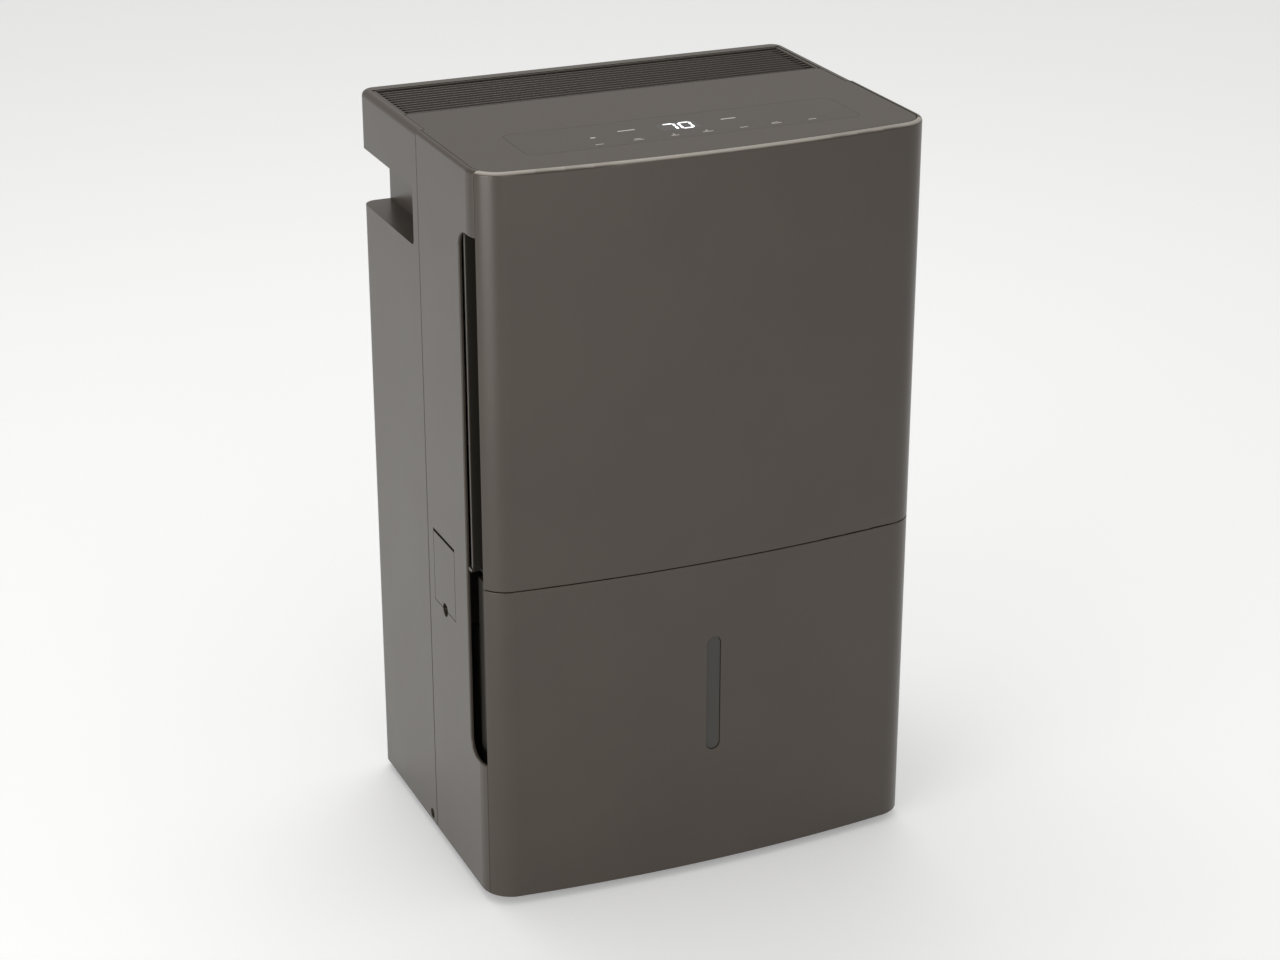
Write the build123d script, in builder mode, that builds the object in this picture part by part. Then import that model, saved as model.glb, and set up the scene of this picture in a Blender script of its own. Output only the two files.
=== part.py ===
from build123d import *
import os

os.makedirs("parts", exist_ok=True)

# A compressor dehumidifier, in millimetres. +Z is up, the front faces -Y, and the origin is on the
# floor under the middle of the cabinet. The bucket slides out of the front, the air comes in through
# a tall slot in each side, and leaves through the grille in the rear half of the top.

# ---------------------------------------------------------------- driving dimensions
WIDTH = 386
DEPTH = 290
HEIGHT = 630
FOOT = 8  # clearance under the skirt: the casters stand this far out of it
BOW = 13  # how far the middle of the front stands ahead of its ends
FRONT_R = 26
REAR_R = 12
WALL = 2.5
TOP_FILLET = 5
LIP = 4  # what shows of the front casing and cover round the deck
LIP_FILLET = 3

SEAM_Y = 2  # the vertical seam between the front and the rear casing
SEAM_GAP = 0.6
SEAM_R = 0.8  # rounding of the panels' vertical edges
EDGE_Y = -120  # front end of the side walls
GAP = 0.6  # shut line between panels
PANEL = 3  # wall of the front cover and of the bucket front
BUCKET_TOP = 286  # the shut line between cover and bucket

RIM = 7
REAR_RIM = 14
RIM_DROP = 9
DECK = 3
DECK_REAR_Y = 48.6

GRIP_LOW = 532
GRIP_HIGH = 581
GRIP_IN = 25
GRIP_FRONT_Y = 14.5
GRIP_R = 5

SLOT_LOW = 127
SLOT_HIGH = 577
SLOT_REAR_Y = -90
SLOT_R = 14

BASE_TOP = 36
BASE_HALF_W = 183.5
BASE_FRONT_Y = -116
BASE_REAR_Y = 131
CEILING = 292  # underside of the shelf over the bucket bay

HALF_W = WIDTH / 2
FRONT_Y = -DEPTH / 2
REAR_Y = DEPTH / 2
SHOULDER_Y = FRONT_Y + BOW


# ---------------------------------------------------------------- shared sketches and planes
def cabinet_plan(inset=0.0):
    """The cabinet's outline from above: flat sides and back, a bowed front, four round corners."""
    with BuildSketch() as plan:
        with BuildLine():
            ThreePointArc((-HALF_W, SHOULDER_Y), (0, FRONT_Y), (HALF_W, SHOULDER_Y))
            Polyline(
                (HALF_W, SHOULDER_Y), (HALF_W, REAR_Y), (-HALF_W, REAR_Y), (-HALF_W, SHOULDER_Y)
            )
        make_face()
        fillet(plan.vertices().group_by(Axis.Y)[-1], REAR_R)
        fillet(plan.vertices().group_by(Axis.Y)[0], FRONT_R)
        if inset:
            offset(amount=-inset)
    return plan.sketch


def plan_band(inset, low_y, high_y):
    """The part of that outline between two distances from front to back."""
    with BuildSketch() as band:
        add(cabinet_plan(inset))
        with Locations((0, (low_y + high_y) / 2)):
            Rectangle(2 * WIDTH, high_y - low_y, mode=Mode.INTERSECT)
    return band.sketch


def front_at(x):
    """How far forward the bowed front stands at a distance from the middle."""
    return FRONT_Y + BOW * (x / HALF_W) ** 2


def front_plane(y):
    """A plane facing the front: X across, Z up. Extruding goes towards -Y."""
    return Plane.XZ.offset(-y)


def side_plane(x):
    """A plane facing +X: Y across, Z up. Extruding goes towards +X."""
    return Plane.YZ.offset(x)


# ---------------------------------------------------------------- rear casing
# A deep moulded shell: both rear side walls, the back, and the rim round the outlet grille. A corner
# of it is cut away on each side, under the rim, as a grab handle.
SCREW_Y = SEAM_Y + 11.5
SCREW_Z = FOOT + 7
SCREW_HOLE_R = 2.2
SCREW_WELL_R = 4.5
SCREW_WELL = 6
BOSS_R = 7
BOSS_LENGTH = 9
HOUSING_REAR_Y = 78.5
BACK_SCREWS = [(x, z) for x in (-152, 152) for z in (335, 548)]
BASE_SCREWS = [(-150, 22), (150, 22)]
GLAND_X = 120
GLAND_Z = 62
GLAND_R = 8

with BuildPart() as rear_cavity:
    with BuildSketch(Plane.XY.offset(FOOT - 1)):
        add(plan_band(WALL, SEAM_Y - 10, REAR_Y))
    extrude(amount=HEIGHT - RIM_DROP - FOOT + 1)
    with BuildSketch(side_plane(-HALF_W)) as grip_walls:
        with Locations((GRIP_FRONT_Y - WALL + DEPTH / 2, (GRIP_LOW + GRIP_HIGH) / 2)):
            RectangleRounded(DEPTH, GRIP_HIGH - GRIP_LOW + 2 * WALL, GRIP_R + WALL)
    extrude(amount=GRIP_IN + WALL, mode=Mode.SUBTRACT)
    with BuildSketch(side_plane(HALF_W)):
        add(grip_walls.sketch_local)
    extrude(amount=-GRIP_IN - WALL, mode=Mode.SUBTRACT)

with BuildPart() as rear_casing:
    with BuildSketch(Plane.XY.offset(FOOT)):
        add(plan_band(0, SEAM_Y + SEAM_GAP / 2, REAR_Y))
    extrude(amount=HEIGHT - FOOT)
    rim_edges = rear_casing.faces().sort_by(Axis.Z)[-1].edges().sort_by(Axis.Y)[1:]
    fillet(rim_edges, TOP_FILLET)
    seam_face = rear_casing.faces().sort_by(Axis.Y)[0]
    fillet(seam_face.edges().filter_by(Axis.Z), SEAM_R)
    add(rear_cavity.part, mode=Mode.SUBTRACT)
    with BuildSketch(Plane.XY.offset(HEIGHT - RIM_DROP - 1)):
        with Locations((0, (REAR_Y - REAR_RIM) / 2)):
            Rectangle(WIDTH - 2 * RIM, REAR_Y - REAR_RIM)
    extrude(amount=RIM_DROP + 2, mode=Mode.SUBTRACT)
    with BuildSketch(side_plane(-HALF_W - 1)) as grips:
        with Locations((GRIP_FRONT_Y + DEPTH / 2, (GRIP_LOW + GRIP_HIGH) / 2)):
            RectangleRounded(DEPTH, GRIP_HIGH - GRIP_LOW, GRIP_R)
    extrude(amount=GRIP_IN + 1, mode=Mode.SUBTRACT)
    with BuildSketch(side_plane(HALF_W + 1)):
        add(grips.sketch_local)
    extrude(amount=-GRIP_IN - 1, mode=Mode.SUBTRACT)
    # bosses behind the side screws, and the long bosses of the back screws
    with BuildSketch(side_plane(-HALF_W + WALL)) as side_boss:
        with Locations((SCREW_Y, SCREW_Z)):
            Circle(BOSS_R)
        with Locations((SCREW_Y, SCREW_Z - BOSS_R)):
            Rectangle(2 * BOSS_R, 2 * (SCREW_Z - FOOT), mode=Mode.SUBTRACT)
        with Locations((SCREW_Y, (SCREW_Z + FOOT) / 2)):
            Rectangle(2 * BOSS_R, SCREW_Z - FOOT)
    extrude(amount=BOSS_LENGTH - WALL)
    with BuildSketch(side_plane(HALF_W - WALL)):
        add(side_boss.sketch_local)
    extrude(amount=-BOSS_LENGTH + WALL)
    with BuildSketch(front_plane(REAR_Y - WALL)):
        with Locations(*BACK_SCREWS):
            Circle(BOSS_R)
    extrude(amount=REAR_Y - WALL - HOUSING_REAR_Y)
    with BuildSketch(front_plane(REAR_Y - WALL)):
        with Locations(*BASE_SCREWS):
            Circle(BOSS_R)
    extrude(amount=REAR_Y - WALL - BASE_REAR_Y)
    # screw wells and holes
    for side in (-1, 1):
        with BuildSketch(side_plane(side * HALF_W)):
            with Locations((SCREW_Y, SCREW_Z)):
                Circle(SCREW_WELL_R)
        extrude(amount=-side * SCREW_WELL, mode=Mode.SUBTRACT)
        with BuildSketch(side_plane(side * HALF_W)):
            with Locations((SCREW_Y, SCREW_Z)):
                Circle(SCREW_HOLE_R)
        extrude(amount=-side * (BOSS_LENGTH + 1), mode=Mode.SUBTRACT)
    with BuildSketch(front_plane(REAR_Y + 1)):
        with Locations(*BACK_SCREWS):
            Circle(SCREW_WELL_R)
    extrude(amount=REAR_Y + 1 - HOUSING_REAR_Y - 4, mode=Mode.SUBTRACT)
    with BuildSketch(front_plane(REAR_Y + 1)):
        with Locations(*BASE_SCREWS):
            Circle(SCREW_WELL_R)
    extrude(amount=REAR_Y + 1 - BASE_REAR_Y - 4, mode=Mode.SUBTRACT)
    with BuildSketch(front_plane(REAR_Y)):
        with Locations(*BACK_SCREWS, *BASE_SCREWS):
            Circle(SCREW_HOLE_R)
    extrude(amount=REAR_Y - HOUSING_REAR_Y + 1, mode=Mode.SUBTRACT)
    # the hole for the cord gland
    with BuildSketch(front_plane(REAR_Y + 1)):
        with Locations((GLAND_X, GLAND_Z)):
            Circle(GLAND_R)
    extrude(amount=WALL + 2, mode=Mode.SUBTRACT)
rear_casing.part.label = "rear_casing"
export_step(rear_casing.part, "parts/rear_casing.step")

# ---------------------------------------------------------------- front casing
# Both front side walls with their tall inlet slots, joined by the inlet frame behind the filter and
# by the shelf over the bucket bay. The left wall also holds the drain pocket.
FRAME_Y = -98
FRAME = 2.5
WINDOW_HALF_W = 142
WINDOW_LOW = 326
WINDOW_HIGH = 562
SHELF_FRONT_Y = -118
SHELF_HALF_W = 184
DOOR_LOW = 231.5
DOOR_HIGH = 295.5
DOOR_REAR_Y = -11
DOOR_FRONT_Y = -61
DOOR_MID_Y = (DOOR_REAR_Y + DOOR_FRONT_Y) / 2
DOOR_GAP = 0.7
DOOR_TOP_GAP = 1.6
POCKET = 32  # depth of the drain pocket behind the outer face
POCKET_WALL = 2
POCKET_HIGH = DOOR_HIGH + 1.2
NOTCH_R = 5.5
SPOUT_Z = 257
SPOUT_R = 10
HINGE_X = -HALF_W + 4.2
HINGE_Z = DOOR_HIGH - 8
PIN_R = 1.5
FILTER_LOW = 306
FILTER_HIGH = 571
FILTER_FRONT_Y = -106
FILTER_REAR_Y = -101
GUIDE = 1.6
DRIP_HOLE_R = 9
DRIP_Y = -52
ELBOW_X = -146
ELBOW_HOLE_R = 10
POST_X = 120
COVER_POSTS = [(x, z) for x in (-POST_X, POST_X) for z in (299, 597)]

with BuildPart() as front_cavity:
    with BuildSketch(Plane.XY.offset(FOOT - 1)):
        add(plan_band(WALL, EDGE_Y - 20, SEAM_Y + 10))
    extrude(amount=HEIGHT - RIM_DROP - FOOT + 1)

with BuildPart() as front_casing:
    with BuildSketch(Plane.XY.offset(FOOT)):
        add(plan_band(0, EDGE_Y, SEAM_Y - SEAM_GAP / 2))
    extrude(amount=HEIGHT - FOOT)
    top_face = front_casing.faces().sort_by(Axis.Z)[-1]
    fillet(top_face.edges().filter_by(Axis.X, reverse=True), LIP_FILLET)
    casing_ends = front_casing.faces().filter_by(Axis.Y).sort_by(Axis.Y)
    for end_face in (casing_ends[0], casing_ends[-1]):
        fillet(end_face.edges().filter_by(Axis.Z), SEAM_R)
    add(front_cavity.part, mode=Mode.SUBTRACT)
    with BuildSketch(Plane.XY.offset(HEIGHT - RIM_DROP - 1)):
        add(plan_band(LIP, EDGE_Y - 20, SEAM_Y + 10))
    extrude(amount=RIM_DROP + 2, mode=Mode.SUBTRACT)
    # the inlet slot of both sides, open at the front edge
    with BuildSketch(side_plane(-HALF_W - 1)):
        with Locations((SLOT_REAR_Y - DEPTH / 2, (SLOT_LOW + SLOT_HIGH) / 2)):
            RectangleRounded(DEPTH, SLOT_HIGH - SLOT_LOW, SLOT_R)
    extrude(amount=WIDTH + 2, mode=Mode.SUBTRACT)
    outer_walls = front_casing.faces().filter_by(Axis.X).group_by(Axis.X)
    for walls in (outer_walls[0], outer_walls[-1]):
        slot_edges = walls.edges().filter_by_position(
            Axis.Y, EDGE_Y + 1, SLOT_REAR_Y + 1
        ).filter_by_position(Axis.Z, SLOT_LOW - 1, SLOT_HIGH + 1)
        fillet(slot_edges.filter_by(lambda edge: edge.center().Y > EDGE_Y + 2), 1.2)
    # the inlet frame, with the window of the coils
    with BuildSketch(front_plane(FRAME_Y + FRAME)):
        with Locations((0, (CEILING + HEIGHT - DECK) / 2)):
            Rectangle(WIDTH - 2 * RIM - 1, HEIGHT - DECK - CEILING)
        for side in (-1, 1):
            with Locations((side * (HALF_W - RIM), (CEILING + HEIGHT - RIM_DROP) / 2)):
                Rectangle(2 * (RIM - WALL), HEIGHT - RIM_DROP - CEILING)
        with Locations((0, (WINDOW_LOW + WINDOW_HIGH) / 2)):
            Rectangle(2 * WINDOW_HALF_W, WINDOW_HIGH - WINDOW_LOW, mode=Mode.SUBTRACT)
        with Locations(*COVER_POSTS):
            Circle(SCREW_HOLE_R, mode=Mode.SUBTRACT)
    extrude(amount=FRAME)
    # the shelf over the bucket bay, which also closes the bottom of the inlet plenum
    with BuildSketch(Plane.XY.offset(CEILING)):
        with Locations((0, (SHELF_FRONT_Y + SEAM_Y - SEAM_GAP / 2) / 2)):
            Rectangle(2 * SHELF_HALF_W, SEAM_Y - SEAM_GAP / 2 - SHELF_FRONT_Y)
        with Locations((0, (FRAME_Y + SEAM_Y - SEAM_GAP / 2) / 2)):
            Rectangle(2 * (HALF_W - WALL / 2), SEAM_Y - SEAM_GAP / 2 - FRAME_Y)
        with Locations((0, DRIP_Y)):
            Circle(DRIP_HOLE_R, mode=Mode.SUBTRACT)
        with Locations((ELBOW_X, DOOR_MID_Y)):
            Circle(ELBOW_HOLE_R, mode=Mode.SUBTRACT)
    extrude(amount=FRAME)
    # filter guides: an angle over and under the filter
    for shelf_z, lip_z in (
        (FILTER_HIGH + GUIDE, FILTER_HIGH - 1),
        (FILTER_LOW - GUIDE, FILTER_LOW + 1),
    ):
        with BuildSketch(front_plane(FRAME_Y)):
            with Locations((0, shelf_z)):
                Rectangle(2 * SHELF_HALF_W - 20, GUIDE)
        extrude(amount=FRAME_Y - FILTER_FRONT_Y + GUIDE + 1)
        with BuildSketch(front_plane(FILTER_FRONT_Y - 1)):
            with Locations((0, (shelf_z + lip_z) / 2)):
                Rectangle(2 * SHELF_HALF_W - 20, abs(shelf_z - lip_z) + GUIDE)
        extrude(amount=GUIDE)
    # the drain pocket in the left wall, and the door's opening into it
    with BuildSketch(side_plane(-HALF_W + WALL / 2)):
        with Locations((DOOR_MID_Y, (DOOR_LOW + POCKET_HIGH) / 2)):
            Rectangle(
                DOOR_REAR_Y - DOOR_FRONT_Y + 2 * POCKET_WALL,
                POCKET_HIGH - DOOR_LOW + 2 * POCKET_WALL,
            )
    extrude(amount=POCKET - WALL / 2)
    with BuildSketch(side_plane(-HALF_W - 1)):
        with Locations((DOOR_MID_Y, (DOOR_LOW + POCKET_HIGH) / 2)):
            Rectangle(DOOR_REAR_Y - DOOR_FRONT_Y, POCKET_HIGH - DOOR_LOW)
    extrude(amount=POCKET - POCKET_WALL + 1, mode=Mode.SUBTRACT)
    with BuildSketch(side_plane(-HALF_W - 1)):
        with Locations((DOOR_MID_Y, (DOOR_LOW + DOOR_HIGH) / 2)):
            Rectangle(DOOR_REAR_Y - DOOR_FRONT_Y, DOOR_HIGH - DOOR_LOW)
        with Locations((DOOR_MID_Y, DOOR_LOW)):
            Circle(NOTCH_R)
    extrude(amount=WALL + 1, mode=Mode.SUBTRACT)
    with BuildSketch(side_plane(-HALF_W + POCKET - POCKET_WALL - 1)):
        with Locations((DOOR_MID_Y, SPOUT_Z)):
            Circle(SPOUT_R + 0.5)
    extrude(amount=POCKET_WALL + 2, mode=Mode.SUBTRACT)
    with BuildSketch(front_plane(DOOR_REAR_Y + POCKET_WALL)):
        with Locations((HINGE_X, HINGE_Z)):
            Circle(PIN_R)
    extrude(amount=DOOR_REAR_Y - DOOR_FRONT_Y + 2 * POCKET_WALL, mode=Mode.SUBTRACT)
front_casing.part.label = "front_casing"
export_step(front_casing.part, "parts/front_casing.step")

# ---------------------------------------------------------------- front cover
# The upper front panel, bowed and round-cornered, with a lip round the deck. Four posts behind it
# take screws through the inlet frame.
POST_R = 4
LIP_DROP = 6
CLEAR = 0.3

with BuildPart() as front_cover:
    with BuildSketch(Plane.XY.offset(BUCKET_TOP + GAP / 2)):
        add(plan_band(0, FRONT_Y - 1, EDGE_Y - GAP))
    extrude(amount=HEIGHT - BUCKET_TOP - GAP / 2)
    top_edges = front_cover.faces().sort_by(Axis.Z)[-1].edges()
    fillet(top_edges.sort_by(Axis.Y)[:-1], LIP_FILLET)
    shut_edges = front_cover.faces().sort_by(Axis.Z)[0].edges()
    fillet(shut_edges.sort_by(Axis.Y)[:-1], SEAM_R)
    with BuildSketch(Plane.XY.offset(BUCKET_TOP)):
        add(plan_band(PANEL, FRONT_Y - 1, EDGE_Y + 1))
    extrude(amount=HEIGHT - LIP_DROP - BUCKET_TOP, mode=Mode.SUBTRACT)
    with BuildSketch(Plane.XY.offset(HEIGHT - LIP_DROP - 1)):
        add(plan_band(LIP, FRONT_Y - 1, EDGE_Y + 1))
    extrude(amount=LIP_DROP + 2, mode=Mode.SUBTRACT)
    with BuildSketch(front_plane(FRAME_Y - CLEAR)):
        with Locations(*COVER_POSTS):
            Circle(POST_R)
    extrude(amount=FRAME_Y - CLEAR - front_at(POST_X) - PANEL / 2)
    with BuildSketch(front_plane(FRAME_Y)):
        with Locations(*COVER_POSTS):
            Circle(SCREW_HOLE_R)
    extrude(amount=16, mode=Mode.SUBTRACT)
front_cover.part.label = "front_cover"
export_step(front_cover.part, "parts/front_cover.step")

# ---------------------------------------------------------------- top deck
# The flat lid of the front half, flush with the rim, with a shallow bed for the control overlay and
# a tray under it for the board.
OVERLAY_X = 5
OVERLAY_Y = -69
OVERLAY_W = 286
OVERLAY_D = 62
OVERLAY_R = 9
OVERLAY = 0.8
DECK_FILLET = 0.8
BOARD_W = 262
BOARD_D = 46
BOARD = 1.6
BOARD_Z = 616
DISPLAY_W = 34
DISPLAY_D = 18

with BuildPart() as top_deck:
    with BuildSketch(Plane.XY.offset(HEIGHT - DECK)):
        add(plan_band(LIP + GAP, FRONT_Y - 1, SEAM_Y - CLEAR))
        with Locations((0, DECK_REAR_Y / 2)):
            Rectangle(WIDTH - 2 * RIM - 2 * CLEAR, DECK_REAR_Y)
    extrude(amount=DECK)
    deck_rims = top_deck.faces().sort_by(Axis.Z)[-1].edges()
    fillet(deck_rims, DECK_FILLET)
    with BuildSketch(Plane.XY.offset(HEIGHT - OVERLAY)):
        with Locations((OVERLAY_X, OVERLAY_Y)):
            RectangleRounded(OVERLAY_W, OVERLAY_D, OVERLAY_R)
    extrude(amount=OVERLAY, mode=Mode.SUBTRACT)
    with BuildSketch(Plane.XY.offset(HEIGHT - DECK)):
        with Locations((OVERLAY_X, OVERLAY_Y)):
            Rectangle(BOARD_W + 6, BOARD_D + 6)
            Rectangle(BOARD_W + 2, BOARD_D + 2, mode=Mode.SUBTRACT)
    extrude(amount=-(HEIGHT - DECK - BOARD_Z + BOARD))
    with BuildSketch(Plane.XY.offset(HEIGHT - DECK - 1)):
        with Locations((OVERLAY_X, OVERLAY_Y)):
            Rectangle(DISPLAY_W + 2, DISPLAY_D + 2)
    extrude(amount=DECK, mode=Mode.SUBTRACT)
    # stiffening ribs, and the flange that hooks over the grille
    with BuildSketch(Plane.XY.offset(HEIGHT - DECK)):
        for y in (-15, 12):
            with Locations((0, y)):
                Rectangle(WIDTH - 8 * RIM, 2)
    extrude(amount=-5)
top_deck.part.label = "top_deck"
export_step(top_deck.part, "parts/top_deck.step")

# ---------------------------------------------------------------- control overlay and board
with BuildPart() as control_overlay:
    with BuildSketch(Plane.XY.offset(HEIGHT - OVERLAY + 0.05)):
        with Locations((OVERLAY_X, OVERLAY_Y)):
            RectangleRounded(OVERLAY_W - 0.5, OVERLAY_D - 0.5, OVERLAY_R - 0.25)
    extrude(amount=OVERLAY - 0.05)
control_overlay.part.label = "control_overlay"
export_step(control_overlay.part, "parts/control_overlay.step")

with BuildPart() as control_board:
    with BuildSketch(Plane.XY.offset(BOARD_Z)):
        with Locations((OVERLAY_X, OVERLAY_Y)):
            Rectangle(BOARD_W, BOARD_D)
    extrude(amount=-BOARD)
    with BuildSketch(Plane.XY.offset(BOARD_Z)):
        with Locations((OVERLAY_X, OVERLAY_Y - 17)):
            with GridLocations(30, 0, 7, 1):
                Circle(3)
    extrude(amount=4)
    with BuildSketch(Plane.XY.offset(BOARD_Z)):
        with Locations((OVERLAY_X, OVERLAY_Y)):
            Rectangle(DISPLAY_W, DISPLAY_D)
    extrude(amount=HEIGHT - OVERLAY - CLEAR - BOARD_Z)
control_board.part.label = "control_board"
export_step(control_board.part, "parts/control_board.step")

# ---------------------------------------------------------------- outlet grille
# A drop-in frame with slats from side to side, cross-ribbed underneath and clipped into the rim.
GRILLE = 8
GRILLE_FRONT_Y = DECK_REAR_Y + 0.4
GRILLE_REAR_Y = REAR_Y - REAR_RIM - CLEAR
GRILLE_MID_Y = (GRILLE_FRONT_Y + GRILLE_REAR_Y) / 2
GRILLE_D = GRILLE_REAR_Y - GRILLE_FRONT_Y
GRILLE_BORDER = 3.5
SLATS = 11
SLAT_PITCH = (GRILLE_D - 2 * GRILLE_BORDER) / (SLATS + 1)
SLAT = 3

with BuildPart() as outlet_grille:
    with BuildSketch(Plane.XY.offset(HEIGHT - GRILLE)):
        with Locations((0, GRILLE_MID_Y)):
            Rectangle(WIDTH - 2 * RIM - 2 * CLEAR, GRILLE_D)
            Rectangle(
                WIDTH - 2 * RIM - 4 * GRILLE_BORDER, GRILLE_D - 2 * GRILLE_BORDER, mode=Mode.SUBTRACT
            )
    extrude(amount=GRILLE)
    with BuildSketch(Plane.XY.offset(HEIGHT - GRILLE)):
        with Locations((0, GRILLE_MID_Y)):
            with GridLocations(0, SLAT_PITCH, 1, SLATS):
                Rectangle(WIDTH - 2 * RIM - 3 * GRILLE_BORDER, SLAT)
    extrude(amount=GRILLE - 1)
    with BuildSketch(Plane.XY.offset(HEIGHT - GRILLE)):
        with Locations((0, GRILLE_MID_Y)):
            with GridLocations(70, 0, 5, 1):
                Rectangle(2, GRILLE_D - GRILLE_BORDER)
    extrude(amount=GRILLE - 4)
outlet_grille.part.label = "outlet_grille"
export_step(outlet_grille.part, "parts/outlet_grille.step")

# ---------------------------------------------------------------- base pan and casters
# A ribbed pan, open below, that carries the compressor and the bucket's runway. A caster swivels in
# a socket under each corner.
BASE = 3
BASE_LOW = 12
CASTER_X = 158
CASTER_FRONT_Y = -88
CASTER_REAR_Y = 100
STEM_R = 3
STEM_CLEAR = 0.05
SOCKET_R = 7
SOCKET_LOW = 24.6
WHEEL_R = 10
WHEEL_W = 12
TRAIL = 7
AXLE_R = 1.5
LEG = 2
COMPRESSOR_X = -62
COMPRESSOR_Y = 76
FOOT_RING = 56
CASTERS = [(x, y) for x in (-CASTER_X, CASTER_X) for y in (CASTER_FRONT_Y, CASTER_REAR_Y)]
CASTER_NAMES = ["front_left", "rear_left", "front_right", "rear_right"]

with BuildPart() as base_pan:
    with BuildSketch(Plane.XY.offset(BASE_LOW)):
        with Locations((0, (BASE_FRONT_Y + BASE_REAR_Y) / 2)):
            Rectangle(2 * BASE_HALF_W - 1, BASE_REAR_Y - BASE_FRONT_Y - 1)
    extrude(amount=BASE_TOP - BASE_LOW)
    with BuildSketch(Plane.XY.offset(BASE_LOW)):
        with Locations((0, (BASE_FRONT_Y + BASE_REAR_Y) / 2)):
            Rectangle(
                2 * (BASE_HALF_W - BASE) - 1, BASE_REAR_Y - BASE_FRONT_Y - 1 - 2 * BASE
            )
    extrude(amount=BASE_TOP - BASE - BASE_LOW, mode=Mode.SUBTRACT)
    with BuildSketch(Plane.XY.offset(BASE_TOP - BASE)):
        for x in (-100, -33, 33, 100):
            with Locations((x, (BASE_FRONT_Y + BASE_REAR_Y) / 2)):
                Rectangle(2, BASE_REAR_Y - BASE_FRONT_Y - 2)
        for y in (-40, 30):
            with Locations((0, y)):
                Rectangle(2 * BASE_HALF_W - 4, 2)
    extrude(amount=-14)
    with BuildSketch(Plane.XY.offset(BASE_TOP - BASE)):
        with Locations(*CASTERS):
            Circle(SOCKET_R)
    extrude(amount=-(BASE_TOP - BASE - SOCKET_LOW))
    with BuildSketch(Plane.XY.offset(BASE_TOP - 1.5)):
        with Locations(*CASTERS):
            Circle(STEM_R + STEM_CLEAR)
    extrude(amount=-20, mode=Mode.SUBTRACT)
    with BuildSketch(Plane.XY.offset(BASE_TOP)):
        with Locations((COMPRESSOR_X, COMPRESSOR_Y)):
            with PolarLocations(FOOT_RING, 3, start_angle=90):
                Circle(9)
    extrude(amount=5)
    with BuildSketch(Plane.XY.offset(BASE_TOP + 5)):
        with Locations((COMPRESSOR_X, COMPRESSOR_Y)):
            with PolarLocations(FOOT_RING, 3, start_angle=90):
                Circle(2.5)
    extrude(amount=-12, mode=Mode.SUBTRACT)
    with BuildSketch(front_plane(BASE_REAR_Y)):
        with Locations(*BASE_SCREWS):
            Circle(SCREW_HOLE_R)
    extrude(amount=6, mode=Mode.SUBTRACT)
    for side in (-1, 1):
        with BuildSketch(side_plane(side * BASE_HALF_W)):
            with Locations((SCREW_Y, SCREW_Z)):
                Circle(SCREW_HOLE_R)
        extrude(amount=-side * 6, mode=Mode.SUBTRACT)
base_pan.part.label = "base_pan"
export_step(base_pan.part, "parts/base_pan.step")

for name, (caster_x, caster_y) in zip(CASTER_NAMES, CASTERS):
    with BuildPart() as fork:
        with BuildSketch(Plane.XY.offset(21)):
            with Locations((caster_x, caster_y)):
                Circle(WHEEL_W / 2 + LEG + 1.5)
            with Locations((caster_x, caster_y + TRAIL / 2)):
                Rectangle(WHEEL_W + 2 * LEG + 1, TRAIL + 6)
        extrude(amount=3)
        with BuildSketch(Plane.XY.offset(24)):
            with Locations((caster_x, caster_y)):
                Circle(STEM_R)
        extrude(amount=BASE_TOP - 2 - 24)
        for side in (-1, 1):
            with BuildSketch(side_plane(caster_x + side * (WHEEL_W / 2 + 0.5))):
                with BuildLine():
                    Polyline(
                        (caster_y - 4, 21),
                        (caster_y + TRAIL - 3.5, WHEEL_R - 3),
                        (caster_y + TRAIL + 3.5, WHEEL_R - 3),
                        (caster_y + TRAIL + 4, 21),
                        (caster_y - 4, 21),
                    )
                make_face()
                with Locations((caster_y + TRAIL, WHEEL_R)):
                    Circle(AXLE_R + 0.02, mode=Mode.SUBTRACT)
            extrude(amount=side * LEG)
    fork.part.label = f"caster_fork_{name}"
    export_step(fork.part, f"parts/caster_fork_{name}.step")

    with BuildPart() as wheel:
        with BuildSketch(side_plane(caster_x - WHEEL_W / 2)):
            with Locations((caster_y + TRAIL, WHEEL_R)):
                Circle(WHEEL_R)
        extrude(amount=WHEEL_W)
        rims = wheel.edges().filter_by(GeomType.CIRCLE).group_by(Axis.X)
        fillet(rims[0] + rims[-1], 1.5)
        with BuildSketch(side_plane(caster_x - WHEEL_W / 2)):
            with Locations((caster_y + TRAIL, WHEEL_R)):
                Circle(AXLE_R + 0.06)
        extrude(amount=WHEEL_W, mode=Mode.SUBTRACT)
    wheel.part.label = f"caster_wheel_{name}"
    export_step(wheel.part, f"parts/caster_wheel_{name}.step")

    with BuildPart() as axle:
        with BuildSketch(side_plane(caster_x - WHEEL_W / 2 - LEG - 1)):
            with Locations((caster_y + TRAIL, WHEEL_R)):
                Circle(AXLE_R)
        extrude(amount=WHEEL_W + 2 * LEG + 2)
    axle.part.label = f"caster_axle_{name}"
    export_step(axle.part, f"parts/caster_axle_{name}.step")

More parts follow.
